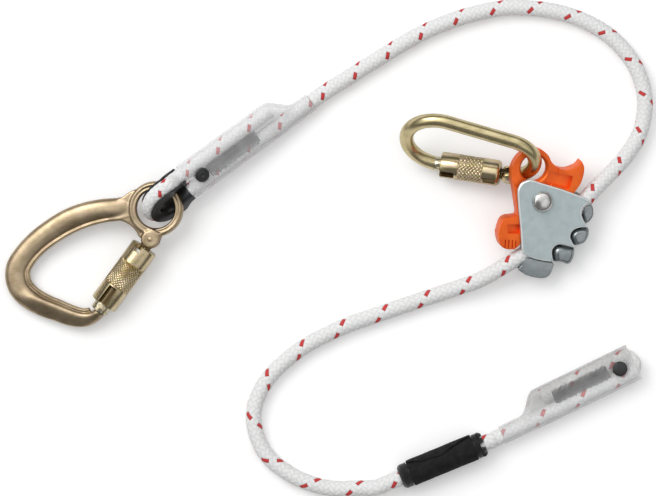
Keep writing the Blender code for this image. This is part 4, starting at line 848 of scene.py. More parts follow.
pin_bore = turned([(-9, 0), (-9, 2.0), (9, 2.0), (9, 0)], 32)
nose_room = sector(OVAL_SLEEVE_END, OVAL_REACH + 0.3, math.radians(9), 14)
oval = cut(
    oval, moved(tongue_slot, on_axis_z(*OVAL_PIN)), moved(pin_bore, on_axis_z(*OVAL_PIN)),
    moved(nose_room, Matrix.Translation((*OVAL_PIN, 0)) @ Matrix.Rotation(OVAL_GATE_TURN, 4, "Z")),
)
finished("oval_bar", oval, OVAL_FRAME, oval_gold, "oval", "oval_body", "zinc_gold", 50)
oval_barrel = barrel(6.2, OVAL_SLEEVE_END, 6.0, 4.2, 2.6, 9.8, (0.29, 0.70), 22, 3.4)
oval_barrel = cut(oval_barrel, turned_slot(40.4, 53.5, 5.4, 4.0, 184), turned_slot(9.0, 18.4, 5.0, 4.0, 184))
finished(
    "oval_barrel", oval_barrel, OVAL_GATE_FRAME, barrel_gold,
    "oval_sleeve", "oval_locking_sleeve", "zinc_gold",
)
oval_gate = gate_shaft(6.8, 4.2, 39.0, 5.7, OVAL_REACH, 4.4, 4.2, (52.0, 54.4, 3.4), 215)
oval_gate_gold = gate_gold("oval_gate_gold", OVAL_GATE_FRAME, OVAL_SLEEVE_END)
finished(
    "oval_gate_bar", oval_gate, OVAL_GATE_FRAME, oval_gate_gold, "oval_gate_set", "oval_gate", "zinc_bright"
)
oval_pin = hinge_pin(1.7, 5.5)
finished("oval_pin", oval_pin, OVAL_GATE_FRAME, pin_steel, "oval", "oval_hinge_pin", "spring_steel")


def dressed(names, paint):
    """CAD nodes that keep their shape and take a finer finish."""
    for name in names:
        mesh = frame["nodes"][name].data
        mesh.materials.clear()
        mesh.materials.append(paint)


bush_nylon, tree, shader = material("bush_nylon", Roughness=0.5)
place = node(tree, "TexCoord").outputs["Object"]
clouds = node(tree, "TexNoise", {"Vector": place, "Scale": 300.0, "Detail": 3.0}).outputs[0]
nylon = node(tree, "Mix", {0: clouds, 6: (0.62, 0.60, 0.52, 1), 7: (0.76, 0.74, 0.66, 1)}, data_type="RGBA")
tree.links.new(nylon.outputs[2], shader.inputs["Base Color"])
dressed(("hook_lock_pin", "oval_lock_pin"), pin_steel)
dressed(("hook_gate_spring", "hook_sleeve_spring", "oval_gate_spring", "oval_sleeve_spring"), spring_wire)
dressed(("hook_sleeve_bush", "oval_sleeve_bush", "pivot_bush"), bush_nylon)

# Rope adjuster, lever: an orange anodised cam between the two plates, with a thumb horn, a hole
# with flared rims for the oval, and a ribbed tab. It is machined from plate and bevelled all round.
ADJUSTER_FRAME = framed(
    (0.159663, 0.069015, 0.0231), (0.738455, 0.674302, 0.0), (-0.6413, 0.702313, 0.309017)
)
LEVER_HALF = 6.2
PLATE_INNER = 6.5
PLATE_OUTER = 9.5
LEVER_OUTLINE = (
    (-10.0, -18.3), (-3.0, -19.6), (4.0, -19.0), (10.0, -17.2), (17.0, -14.3), (24.6, -12.4),
    (30.2, -11.0), (36.0, -7.6), (40.3, -3.4), (41.9, 1.3), (37.6, 0.6), (32.6, 2.2), (28.4, 5.0),
    (25.4, 10.2), (24.9, 16.4), (26.2, 21.5), (25.6, 27.4), (22.3, 32.6), (17.2, 36.0), (11.0, 37.2),
    (4.8, 36.2), (-0.8, 33.2), (-4.2, 29.4), (-7.4, 24.4), (-11.2, 17.9), (-15.3, 11.5),
    (-19.3, 5.2), (-21.2, 3.6),
    (-24.0, 5.6), (-27.1, 7.9), (-30.9, 8.8), (-34.9, 7.2), (-40.6, 3.4), (-43.4, -0.9), (-45.0, -5.8),
    (-43.2, -10.2), (-39.0, -14.4), (-33.5, -14.0), (-28.0, -11.5), (-23.0, -12.0), (-16.5, -15.8),
)
LEVER_CORNERS = (9, 27, 32, 36)
LEVER_HOLE = (11.8, 21.8)
HORN_POCKET = ((19.2, 12.4), (29.4, -2.6), (21.0, -8.4), (10.5, 8.6))
TAB_POCKET = ((-31.0, 4.6), (-23.5, -2.6), (-28.3, -8.0), (-35.0, -1.3))
TAB_GROOVES = (
    (-39.4, -3.6, -5.4, -5.4), (-37.6, -5.5, -5.4, -5.6),
    (-35.8, -7.5, -5.2, -5.8), (-34.0, -9.4, -5.0, -5.8),
)


def rounded(points, corner, parts=5):
    """A closed outline through straight sides with rounded corners."""
    outline = []
    count = len(points)
    places = [Vector((x, y)) for x, y in points]
    for k in range(count):
        here = places[k]
        back = (places[k - 1] - here).normalized()
        ahead = (places[(k + 1) % count] - here).normalized()
        half = back.angle(ahead) / 2
        reach = corner / math.tan(half)
        start = here + back * reach
        end = here + ahead * reach
        for i in range(parts + 1):
            t = i / parts
            place = start * (1 - t) ** 2 + here * 2 * t * (1 - t) + end * t * t
            outline.append((place.x, place.y))
    return outline


def coated(name, light, dark, roughness, metallic, grain, size=900.0):
    """An anodised or lacquered surface: two close shades in clouds, rubbed streaks and a grain."""
    item, tree, shader = material(name, Metallic=metallic)
    place = node(tree, "TexCoord").outputs["Object"]
    wear = node(tree, "Group", {"Place": place, "Size": size}, node_tree=WEAR).outputs
    spread = node(tree, "MapRange", {0: wear["Clouds"], 1: 0.35, 2: 0.65}).outputs[0]
    colour = node(tree, "Mix", {0: spread, 6: dark, 7: light}, data_type="RGBA").outputs[2]
    tree.links.new(colour, shader.inputs["Base Color"])
    rough = maths(tree, "ADD", maths(tree, "MULTIPLY", wear["Grain"], 0.2), roughness - 0.1)
    tree.links.new(rough, shader.inputs["Roughness"])
    relief = maths(tree, "ADD", wear["Grain"], maths(tree, "MULTIPLY", wear["Streaks"], 0.5))
    bump = node(tree, "Bump", {"Height": relief, "Distance": grain, "Strength": 0.5})
    tree.links.new(bump.outputs[0], shader.inputs["Normal"])
    return item


lever_orange = coated("lever_orange", (1.0, 0.165, 0.013, 1), (0.88, 0.125, 0.009, 1), 0.4, 0.4, 0.00005)
lever = slab(flowing(LEVER_OUTLINE, LEVER_CORNERS), -LEVER_HALF, LEVER_HALF, 1.1)
flare = turned([
    (-8.0, 0), (-8.0, 17.0), (-4.4, 12.2), (-3.4, 10.8), (-2.0, 9.9), (0, 9.7), (2.0, 9.9), (3.4, 10.8),
    (4.4, 12.2), (8.0, 17.0), (8.0, 0),
], 96)
waist = turned([(3.9, 0), (3.9, 18.4), (4.6, 19.0), (9, 19.0), (9, 0)], 96)
waist_back = turned([(-3.9, 0), (-3.9, 18.4), (-4.6, 19.0), (-9, 19.0), (-9, 0)], 96)
horn_pocket = slab(rounded(HORN_POCKET, 0.9), 1.6, 9)
tab_pocket = slab(rounded(TAB_POCKET, 0.9), 1.6, 9)
grooves = []
for x, y, along, down in TAB_GROOVES:
    side = Vector((-down, along)).normalized() * 0.45
    ends = ((x, y), (x + 1.6 * along, y + 1.6 * down))
    corners = [
        (ends[k][0] + s * side.x, ends[k][1] + s * side.y) for k, s in ((0, -1), (1, -1), (1, 1), (0, 1))
    ]
    grooves.append(slab(corners, 4.4, 9))
lever = cut(
    lever, moved(flare, on_axis_z(*LEVER_HOLE)), moved(waist, on_axis_z(*LEVER_HOLE)),
    moved(waist_back, on_axis_z(*LEVER_HOLE)),
    moved(turned([(-9, 0), (-9, 6.4), (9, 6.4), (9, 0)], 48), on_axis_z()), horn_pocket, tab_pocket, *grooves,
)
finished("orange_lever", lever, ADJUSTER_FRAME, lever_orange, "lever", "cam_lever", "orange_anodised", 35)

# Rope adjuster, plates: two stamped plates of grey coated alloy with bevelled edges and a painted highlight along the
# bevels, and three bites where the fingers of the block behind them show.
FRONT_TOP = (
    (-36.2, -20.8), (-35.2, -17.4), (-32.0, -12.9), (-25.1, -3.6), (-17.4, 7.2), (-10.2, 17.0), (-6.8, 20.2),
    (-2.7, 21.5), (1.2, 20.4), (4.4, 18.2), (8.8, 10.4), (16.8, -3.6), (22.8, -15.4), (25.6, -21.7),
)
BACK_TOP = (
    (-34.6, -27.4), (-35.7, -22.5), (-29.0, -13.6), (-21.0, -3.0), (-13.5, 6.7), (-6.9, 15.2), (-2.4, 17.2),
    (3.5, 16.3), (7.0, 12.2), (14.3, 0.0), (21.7, -12.5), (25.5, -21.5),
)
BITES = (
    (26.9, -27.5), (24.3, -25.4), (20.6, -24.9), (16.7, -26.5), (14.1, -30.5), (12.9, -35.3),
    (12.8, -39.7), (9.1, -36.0), (4.1, -33.4), (0.0, -33.8), (-2.5, -35.8), (-3.7, -39.2),
    (-4.8, -44.2), (-7.6, -39.9), (-10.6, -35.3), (-14.0, -33.0), (-17.7, -33.1), (-20.6, -35.4),
    (-23.9, -40.6), (-28.3, -35.8), (-33.4, -28.3),
)
CUSPS = (0, 6, 12, 18)
plate_grey = coated("plate_grey", (0.52, 0.60, 0.615, 1), (0.46, 0.54, 0.555, 1), 0.36, 0.5, 0.00004, 1400.0)
tree = plate_grey.node_tree
shader = tree.nodes["Principled BSDF"]
ground = shader.inputs["Base Color"].links[0].from_socket
across = ADJUSTER_FRAME.to_3x3() @ Vector((0, 0, 1000))
normal = node(tree, "TexCoord").outputs["Normal"]
facing = node(tree, "VectorMath", {0: normal, 1: across}, operation="DOT_PRODUCT")
lean = maths(tree, "ABSOLUTE", facing.outputs["Value"])
# Painted highlight: bevel faces, tilted between facing up and facing sideways, are painted near white.
painted_edge_highlight = maths(tree, "MULTIPLY", node(tree, "MapRange", {0: lean, 1: 0.97, 2: 0.9}).outputs[0],
                 node(tree, "MapRange", {0: lean, 1: 0.3, 2: 0.5}).outputs[0])
bright = node(tree, "Mix", {0: painted_edge_highlight, 6: ground, 7: (0.93, 0.95, 0.95, 1)}, data_type="RGBA").outputs[2]
tree.links.new(bright, shader.inputs["Base Color"])
block_grey = coated("block_grey", (0.33, 0.36, 0.37, 1), (0.24, 0.27, 0.28, 1), 0.22, 0.8, 0.000025)
rivet_steel = plated_metal(
    "rivet_steel", (0.72, 0.71, 0.70, 1), (0.62, 0.61, 0.60, 1), (0.70, 0.68, 0.66, 1), 0.2, 0.00002
)


def off_edge(place, edge):
    """How far a place lies from a closed outline."""
    reaches = []
    for start, end in zip(edge, edge[1:] + edge[:1]):
        share = max(0.0, min(1.0, (place - start).dot(end - start) / (end - start).length_squared))
        reaches.append((place - start.lerp(end, share)).length)
    return min(reaches)


def chamfered(outline, low, high, width, drop):
    """A closed outline made solid with a flat chamfer round its upper face."""
    edge = [Vector(place) for place in outline]
    turn = sum(a.x * b.y - b.x * a.y for a, b in zip(edge, edge[1:] + edge[:1]))
    inner = []
    for k, place in enumerate(edge):
        ahead = (edge[(k + 1) % len(edge)] - edge[k - 1]).normalized()
        inward = place + Vector((-ahead.y, ahead.x)) * math.copysign(width, turn)
        if off_edge(inward, edge) > 0.95 * width:
            inner.append(inward)
    bm = slab(outline, low, high - drop)
    top = max(bm.faces, key=lambda face: face.calc_center_median().z)
    rim = list(top.edges)
    bmesh.ops.delete(bm, geom=[top], context="FACES_ONLY")
    cap = bm.faces.new([bm.verts.new((place.x, place.y, high)) for place in inner])
    bmesh.ops.bridge_loops(bm, edges=rim + list(cap.edges))
    bmesh.ops.recalc_face_normals(bm, faces=bm.faces)
    return bm


front_outline = flowing(FRONT_TOP + BITES, [len(FRONT_TOP) + k for k in CUSPS])
back_outline = flowing(BACK_TOP + BITES, [len(BACK_TOP) + k for k in CUSPS])
front = chamfered(front_outline, PLATE_INNER, PLATE_OUTER, 0.85, 0.6)
front = cut(front, moved(turned([(-12, 0), (-12, 4.3), (12, 4.3), (12, 0)], 48), on_axis_z()))
finished("face_plate", front, ADJUSTER_FRAME, plate_grey, "lanyard", "front_plate", "grey_alloy", 35)
back = slab(back_outline, -PLATE_OUTER, -PLATE_INNER, 0.7)
back_holes = [moved(turned([(-12, 0), (-12, 17.5), (0, 17.5), (0, 0)], 96), on_axis_z(*LEVER_HOLE))]
back_holes += [moved(turned([(-12, 0), (-12, 4.3), (12, 4.3), (12, 0)], 48), on_axis_z())]
back_holes += [moved(turned([(-12, 0), (-12, 6.3), (-8.0, 6.3), (-8.0, 0)], 48), on_axis_z())]
for x, y in ((-24.0, -34.5), (-5.0, -35.5), (11.0, -35.3)):
    back_holes.append(moved(turned([
        (-12, 0), (-12, 2.9), (-9.5, 2.9), (-8.0, 1.9), (-4, 1.9), (-4, 0),
    ], 32), on_axis_z(x, y)))
back = cut(back, *back_holes)
finished("rear_plate", back, ADJUSTER_FRAME, plate_grey, "lanyard", "back_plate", "grey_alloy", 35)
rivet = turned([
    (-9.5, 0), (-9.5, 5.4), (-8.9, 6.0), (-8.3, 6.0), (-8.3, 4.0), (9.8, 4.0), (9.7, 7.4), (10.0, 7.9),
    (10.8, 7.9), (11.9, 7.5), (12.9, 6.4), (13.7, 4.6), (14.1, 2.4), (14.2, 0),
], 64)
rivet = moved(rivet, on_axis_z())
finished("pivot_dome", rivet, ADJUSTER_FRAME, rivet_steel, "lanyard", "pivot_rivet", "stainless")

# Rope adjuster, block: the cast fingers and heel behind the rope, darker grey, rounded all over,
# with its channel for the rope. Its fingers rise into the bites, with a thin gap to the plate.
LOBES = (
    (26.6, -28.8), (24.6, -33.0), (21.9, -35.9), (18.7, -37.5), (15.5, -38.1), (12.8, -38.4),
    (12.6, -41.4), (11.0, -44.2), (7.8, -46.4), (3.9, -47.8), (0.7, -47.2), (-2.2, -45.6), (-4.6, -44.6),
    (-5.6, -46.6), (-8.0, -49.0), (-11.6, -51.2), (-15.1, -52.2), (-17.4, -51.0), (-19.1, -47.7),
    (-20.9, -44.9), (-24.2, -42.6), (-27.2, -45.4), (-31.5, -47.5), (-35.4, -47.5), (-38.9, -45.1),
    (-43.8, -38.9), (-46.3, -33.3),
)
LOBE_CUSPS = (5, 12, 20)
HEEL_BODY = (
    (-24.6, -43.0), (-27.2, -45.1), (-31.5, -47.2), (-35.4, -47.2), (-38.8, -44.8), (-43.5, -38.7),
    (-45.9, -33.6), (-40.0, -32.6), (-33.0, -33.0), (-28.0, -38.6),
)
PADS = (
    ((25.6, -29.4), (22.6, -27.6), (19.6, -27.6), (17.0, -29.4), (15.2, -32.8), (14.0, -37.2), (18.7, -37.3),
     (21.9, -35.8), (24.4, -32.9)),
    ((12.2, -41.2), (8.8, -37.6), (4.3, -35.0), (0.6, -35.2), (-1.5, -36.8), (-2.6, -40.0), (-3.4, -44.4),
     (0.7, -47.0), (3.9, -47.6), (7.8, -46.2), (10.9, -44.0)),
    ((-5.6, -45.4), (-8.7, -40.8), (-11.3, -36.8), (-14.2, -34.6), (-17.2, -34.6), (-19.6, -36.5),
     (-22.8, -42.3), (-20.7, -44.9), (-19.0, -47.7), (-17.3, -50.9), (-15.1, -52.0), (-11.6, -51.0),
     (-8.0, -48.8)),
)
PAD_TOPS = (6.4, 9.0, 9.6)
HEEL_LID = (
    (-24.9, -42.9), (-27.2, -45.2), (-31.5, -47.3), (-35.4, -47.3), (-38.9, -44.9), (-43.6, -38.8),
    (-46.1, -33.3), (-47.0, -27.8), (-43.1, -26.8), (-40.0, -25.0), (-36.0, -26.0), (-31.0, -33.5),
    (-27.4, -38.6),
)


def domed(outline, low, high, steps=8):
    """A closed outline raised to a pillow."""
    bm = bmesh.new()
    face = bm.faces.new([bm.verts.new((x, y, low - 2)) for x, y in outline])
    middle = face.calc_center_median()
    for k in range(steps + 1):
        angle = math.pi / 2 * k / steps
        share = (0.5 + 0.5 * math.cos(angle)) / (0.5 + 0.5 * math.cos(math.pi / 2 * max(0, k - 1) / steps))
        grown = bmesh.ops.extrude_face_region(bm, geom=[face])["geom"]
        if k:
            bmesh.ops.delete(bm, geom=[face], context="FACES_ONLY")
        face = next(item for item in grown if isinstance(item, bmesh.types.BMFace))
        for vert in face.verts:
            vert.co = Vector((
                middle.x + (vert.co.x - middle.x) * share, middle.y + (vert.co.y - middle.y) * share,
                low + (high - low) * math.sin(angle),
            ))
    bmesh.ops.recalc_face_normals(bm, faces=bm.faces)
    return bm


channel = [(-46.6 + 71.4 * k / 14, 0) for k in range(15)]
channel = [(x, -25.9 + 3.1 * (x / 42) ** 2 - 6.3) for x, _ in channel]
outer = flowing(LOBES, (0, *LOBE_CUSPS, len(LOBES) - 1))[:-6]
block = slab(outer + channel, -LEVER_HALF, 2.4, 1.8, 5)
block = cut(block, *[
    moved(turned([(-12, 0), (-12, 1.9), (12, 1.9), (12, 0)], 32), on_axis_z(x, y))
    for x, y in ((-24.0, -34.5), (-5.0, -35.5), (11.0, -35.3))
])
pads = []
for pad, foot, top in zip(PADS, (5.6, 3.6, 3.6), PAD_TOPS):
    pads.append(domed(flowing(pad, ()), foot, top))
pads += [slab(flowing(HEEL_LID, ()), 5.5, 6.9, 0.6), slab(flowing(HEEL_BODY, ()), 1.0, 6.3)]
block = joined(block, *pads)
finished("finger_block", block, ADJUSTER_FRAME, block_grey, "lanyard", "grip_block", "grey_alloy", 35)
dressed(("frame_screw_1", "frame_screw_2", "frame_screw_3"), rivet_steel)

# Sewn ends, the rope inside them: the same braid, squeezed a little, doubled back side by side
# round the thimble at the hook and round its own loop at the other end, and held in the adjuster.
SEWN_RADIUS = 0.0057
EYE_ROPE_LINE = (
    (-11.1, 141.4, 7.4), (-28.8, 128.5, 9.2), (-46.5, 115.5, 11.0), (-64.2, 102.6, 12.8), (-77.4, 92.9, 14.1),
    (-88.9, 84.5, 15.3), (-97.8, 78.0, 16.2), (-104.6, 72.3, 14.2), (-108.9, 66.9, 6.3), (-114.6, 62.8, 6.3),
    (-121.1, 59.2, 8.0), (-127.1, 58.1, 12.8), (-130.9, 59.8, 19.3), (-131.4, 63.9, 25.8), (-128.5, 69.3, 30.6),
    (-123.1, 74.5, 32.3), (-117.4, 78.6, 32.3), (-112.2, 83.1, 24.0), (-105.0, 88.5, 20.8), (-96.2, 95.0, 19.9),
    (-84.7, 103.4, 18.8), (-71.4, 113.1, 17.4), (-53.7, 126.1, 15.6), (-41.6, 134.9, 14.4),
)
END_ROPE_LINE = (
    (132.6, -107.8, 8.5), (157.8, -95.6, 8.5), (183.0, -83.4, 8.5), (203.1, -73.7, 8.5), (218.2, -66.4, 8.5),
    (227.0, -62.1, 8.5), (229.7, -59.8, 8.5), (230.9, -56.5, 8.5), (230.2, -53.0, 8.5), (227.9, -50.4, 8.5),
    (224.6, -49.2, 8.5), (221.1, -49.9, 8.5), (212.3, -54.1, 8.5), (197.2, -61.4, 8.5), (177.1, -71.2, 8.5),
    (161.3, -78.8, 8.5),
)
gripped = [
    tuple(1000 * c for c in ADJUSTER_FRAME @ Vector((x, -25.9 + 3.1 * (x / 42) ** 2, 0)))
    for x in (-30, -17.5, -5, 7.5, 20)
]
for name, points, radius, pitch, turn, cad, paint in (
    ("eye_rope", EYE_ROPE_LINE, SEWN_RADIUS, UPPER_PITCH, 0.06, "rope_eye", upper_sheath),
    ("end_rope", END_ROPE_LINE, SEWN_RADIUS, LOWER_PITCH, 0.10, "rope_end_loop", lower_sheath),
    ("gripped_rope", gripped, ROPE_RADIUS, LOWER_PITCH, 0.52, "rope_in_adjuster", lower_sheath),
):
    piece, line, length = rope(name, points, radius, pitch, turn)
    piece.data.materials.append(paint)
    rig.ride(piece, "lanyard")
    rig.replaces(piece, cad)
    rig.slot(piece, "rope_sheath")

# Thimble in the eye: a channel of black moulded plastic round the inner side of the loop.
THIMBLE_BACK = -12.5


def moulded(name, light, dark, roughness, grain, size=1200.0, metallic=0.0):
    """Plastic or rubber: two close shades in clouds, a fine grain, and a slightly uneven gloss."""
    return coated(name, light, dark, roughness, metallic, grain, size)


black_plastic = moulded("black_plastic", (0.020, 0.021, 0.023, 1), (0.011, 0.011, 0.012, 1), 0.36, 0.00006)
along = Vector((-0.80696, -0.59061, 0.0))
lean = Vector((-0.28634, 0.39122, 0.87462))
loop_frame = framed((-0.113581, 0.072479, 0.0193), along, lean)
back = loop_frame.inverted()
loop_axis = (loop_frame.to_3x3() @ Vector((0, 0, 1))).normalized()
loop_middle = loop_frame @ Vector((6.5, 0, 0))
route, length = even_line(EYE_ROPE_LINE, 0.0008)
held = [k for k, point in enumerate(route) if (back @ point).x > THIMBLE_BACK]
section = [
    (-1.5, -7.6), (3.9, -7.6), (5.9, -6.9), (7.1, -5.2), (7.5, -3.0), (7.6, 0.0), (7.5, 3.0), (7.1, 5.2),
    (5.9, 6.9), (3.9, 7.6), (-1.5, 7.6), (-1.9, 7.2), (-1.9, 6.5), (-1.5, 6.1), (1.2, 5.95),
    (3.0, 5.3), (4.9, 3.6),
    (5.9, 1.4), (6.0, 0), (5.9, -1.4), (4.9, -3.6), (3.0, -5.3), (1.2, -5.95), (-1.5, -6.1), (-1.9, -6.5),
    (-1.9, -7.2),
]


def channel_wall(around, along):
    """The thimble's channel, its open side turned away from the middle of the loop."""
    k = held[round(along * (len(held) - 1))]
    ahead = (route[k + 1] - route[k - 1]).normalized()
    inward = loop_axis.cross(ahead).normalized()
    inward *= math.copysign(1, inward.dot(loop_middle - route[k]))
    across = ahead.cross(inward)
    depth, width = section[round(around * len(section)) % len(section)]
    return route[k] + (inward * depth + across * width) / 1000


piece = skin("thimble", len(section), len(held) - 1, channel_wall)
piece.data.materials.append(black_plastic)
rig.ride(piece, "lanyard")
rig.replaces(piece, "eye_thimble")
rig.slot(piece, "black_plastic")

# Stitching of the sewn ends: rows of dark polyester thread sewn across both strands, seen on
# the upper and the lower side of the band.
STITCH_LENGTH = 45.0
STITCH_STEP = 0.8
STITCH_SHIFT = -2.2
stitch_thread = moulded(
    "stitch_thread", (0.075, 0.078, 0.086, 1), (0.003, 0.003, 0.004, 1), 0.75, 0.0002, 1000.0
)


def thread_rows(start, side):
    """The zigzag of one thread over the strands, from X start, on the upper (1) or lower side."""
    points = []
    rows = round(STITCH_LENGTH / STITCH_STEP)
    for row in range(rows):
        wander = 0.7 * math.sin(row * 2.4) + 0.5 * math.sin(row * 5.1)
        reach = 5.6 + wander
        for k in range(9):
            share = k / 8 if row % 2 else 1 - k / 8
            y = reach * (2 * share - 1) + STITCH_SHIFT
            over = math.sqrt(max(0.0, 5.95**2 - (max(abs(y), 3.4) - 6.8) ** 2))
            dip = 1.1 if k in (0, 8) else 0.2 + 0.45 * math.sin(row * 7.3 + k * 2.9)
            points.append((start + STITCH_STEP * (row + k / 8 * 0.8), y, side * (over - dip)))
    return points


def thread(points, radius, sides=6):
    """A thin round thread through the points."""
    line = [Vector(point) for point in points]
    pairs = untwisted(line)
    bm = bmesh.new()
    bmesh.ops.create_grid(bm, x_segments=sides, y_segments=len(line) - 1, size=0.5)
    for vert in bm.verts:
        k = round((vert.co.y + 0.5) * (len(line) - 1))
        angle = math.tau * (vert.co.x + 0.5)
        up, across = pairs[k]
        vert.co = line[k] + radius * (up * math.cos(angle) + across * math.sin(angle))
    bmesh.ops.remove_doubles(bm, verts=bm.verts, dist=0.001)
    bmesh.ops.holes_fill(bm, edges=[edge for edge in bm.edges if edge.is_boundary], sides=0)
    bmesh.ops.recalc_face_normals(bm, faces=bm.faces)
    return bm


EYE_FRAME = framed((-0.10317, 0.081958, 0.0187), (0.80427, 0.58864, -0.08158), (-0.53275, 0.77502, 0.33988))
END_FRAME = framed((0.230388, -0.052935, 0.0085), (-0.90032, -0.43523, 0.0), (0.43523, -0.90032, 0.0))
for name, frame_of, start, cad in (
    ("eye_thread", EYE_FRAME, 17.5, "eye_stitching"), ("end_thread", END_FRAME, 20.5, "end_stitching"),
):
    rows = joined(thread(thread_rows(start, 1), 0.4), thread(thread_rows(start, -1), 0.4))
    finished(name, rows, frame_of, stitch_thread, "lanyard", cad, "stitching_thread", 60)

# Covers of the sewn ends: milky shrunk plastic sleeves round both strands, drawn in to the
# single rope at their mouth.
COVER_WALL = 0.9
SEWN_MM = 5.7


def cover_shape(wide, step, narrow, main, roughly):
    """The sleeve's wall about X: where each station reaches on Y, and its radius."""
    stations = []
    length = wide + step + narrow
    for k in range(111):
        x = length * k / 110
        share = min(1.0, max(0.0, (x - wide + roughly) / (step + 2 * roughly)))
        drawn = share * share * (3 - 2 * share)
        tail = -main * (1 - drawn) + main * drawn * 0.96
        radius = SEWN_MM + 0.8 - 0.5 * drawn
        ripple = 0.06 * math.sin(x * 1.9) + 0.05 * math.sin(x * 0.83 + 1)
        stations.append((x, tail, radius + ripple))
    return stations


def sleeve(stations, main, wall):
    """A sleeve with rounded rims round two strands at Y main and at each station's own Y."""
    lip = [(1.0, 0.0), (0.85, -0.25), (0.5, -0.35), (0.15, -0.25)]
    rows = [(x, tail, radius + wall) for x, tail, radius in stations]
    x, tail, radius = stations[-1]
    rows += [(x - out, tail, radius + wall * share) for share, out in lip[1:]]
    rows += [(x, tail, radius) for x, tail, radius in reversed(stations)]
    x, tail, radius = stations[0]
    rows += [(x + out, tail, radius + wall * share) for share, out in reversed(lip[1:])]
    columns = 56
    bm = bmesh.new()
    bmesh.ops.create_grid(bm, x_segments=columns, y_segments=len(rows), size=0.5)
    for vert in bm.verts:
        x, tail, radius = rows[round((vert.co.y + 0.5) * len(rows)) % len(rows)]
        high, low = max(main, tail), min(main, tail)
        arc = math.pi * radius
        run = (vert.co.x + 0.5) % 1 * 2 * (arc + high - low)
        if run < arc:
            angle = -math.pi / 2 + run / radius
            y, z = high + radius * math.cos(angle), radius * math.sin(angle)
        elif run < arc + high - low:
            y, z = high - (run - arc), radius
        elif run < 2 * arc + high - low:
            angle = math.pi / 2 + (run - arc - high + low) / radius
            y, z = low + radius * math.cos(angle), radius * math.sin(angle)
        else:
            y, z = low + run - 2 * arc - high + low, -radius
        if low < y < high:
            z *= 1 - 0.05 * (1 - abs(2 * (y - low) / (high - low) - 1))
        vert.co = (x, y, z)
    bmesh.ops.remove_doubles(bm, verts=bm.verts, dist=0.001)
    bmesh.ops.recalc_face_normals(bm, faces=bm.faces)
    return bm


def milky(name, place_frame, tail_side, tail_side_shading, main_side_shading, body):
    """Cloudy plastic: see-through but whiter at its edges, with painted light and shade across it, its tail side in
    one tone and its main side in another.
    """
    item, tree, shader = material(name, Roughness=0.38)
    item.use_transparent_shadow = True
    place = node(tree, "TexCoord").outputs["Object"]
    across = place_frame.to_3x3() @ Vector((0, 1, 0))
    middle = place_frame.to_translation().dot(across.normalized())
    along_y = node(tree, "VectorMath", {0: place, 1: across.normalized()}, operation="DOT_PRODUCT")
    along_y = along_y.outputs["Value"]
    # Painted light and shade across the sleeve, from its main side to its tail side.
    share = node(tree, "MapRange", {
        0: along_y, 1: middle - tail_side * 0.007, 2: middle + tail_side * 0.007,
    }).outputs[0]
    clouds = node(tree, "TexNoise", {"Vector": place, "Scale": 90.0, "Detail": 4.0}).outputs[0]
    share = maths(tree, "ADD", share, maths(tree, "MULTIPLY", maths(tree, "SUBTRACT", clouds, 0.5), 0.5))
    colour = node(tree, "Mix", {0: share, 6: main_side_shading, 7: tail_side_shading}, data_type="RGBA").outputs[2]
    tree.links.new(colour, shader.inputs["Base Color"])
    edge = node(tree, "LayerWeight", {"Blend": 0.35}).outputs["Facing"]
    alpha = maths(tree, "ADD", maths(tree, "MULTIPLY", edge, 0.35), body)
    alpha = maths(tree, "ADD", alpha, maths(tree, "MULTIPLY", maths(tree, "SUBTRACT", clouds, 0.45), 0.25))
    tree.links.new(alpha, shader.inputs["Alpha"])
    fine = node(tree, "TexNoise", {"Vector": place, "Scale": 1600.0, "Detail": 2.0}).outputs[0]
    waves = maths(tree, "ADD", maths(tree, "MULTIPLY", clouds, 6.0), fine)
    bump = node(tree, "Bump", {"Height": waves, "Distance": 0.00008, "Strength": 0.5})
    tree.links.new(bump.outputs[0], shader.inputs["Normal"])
    return item


# Painted light and shade: the eye cover's tail side is painted a little lighter, and the end cover's tail side is
# painted grey as shade.
eye_milk = milky("eye_milk", EYE_FRAME, 1, (0.90, 0.90, 0.91, 1), (0.86, 0.86, 0.87, 1), 0.16)
end_milk = milky("end_milk", END_FRAME, -1, (0.52, 0.51, 0.50, 1), (0.93, 0.93, 0.94, 1), 0.16)
eye_sleeve = sleeve(cover_shape(86.0, 6.0, 18.0, -6.8, 7.0), -6.8, COVER_WALL)
finished("eye_sleeve", eye_sleeve, EYE_FRAME, eye_milk, "lanyard", "eye_cover", "cover_plastic", 60)
end_sleeve = sleeve(cover_shape(78.5, 14.0, 19.4, 6.8, 1.5), 6.8, COVER_WALL)
finished("end_sleeve", end_sleeve, END_FRAME, end_milk, "lanyard", "end_cover", "cover_plastic", 60)

# Snap rivets of the covers: black plastic buttons through both walls, near the loops.
RIVET_AT = 11.5
RIVET_WALL = 7.7
for prefix, frame_of in (("eye", EYE_FRAME), ("end", END_FRAME)):
    if prefix == "eye":
        crown = [
            (9.2, 4.95), (9.45, 4.4), (9.5, 3.9), (9.3, 3.6), (9.3, 3.3), (9.55, 3.0), (9.6, 2.0), (9.5, 1.3),
            (9.1, 0.9), (8.9, 0.5), (8.9, 0),
        ]
    else:
        crown = [(9.0, 5.2), (9.35, 4.8), (9.5, 4.2), (9.55, 2.0), (9.55, 0)]
    cap = turned([(RIVET_WALL, 0), (RIVET_WALL, 5.3), (RIVET_WALL + 0.2, 5.5), (8.7, 5.45), *crown], 64, False)
    stud = turned([
        (-8.5, 0), (-8.5, 4.6), (-8.2, 5.2), (-RIVET_WALL, 5.4), (-RIVET_WALL, 0.75), (RIVET_WALL - 0.1, 0.75),
        (RIVET_WALL - 0.1, 0),
    ], 48, False)
    place = on_axis_z(RIVET_AT, 0)
    finished(prefix + "_button", moved(cap, place), frame_of, black_plastic, "lanyard",
             prefix + "_rivet_cap", "black_plastic")
    finished(prefix + "_stud", moved(stud, place), frame_of, black_plastic, "lanyard",
             prefix + "_rivet_stud", "black_plastic")

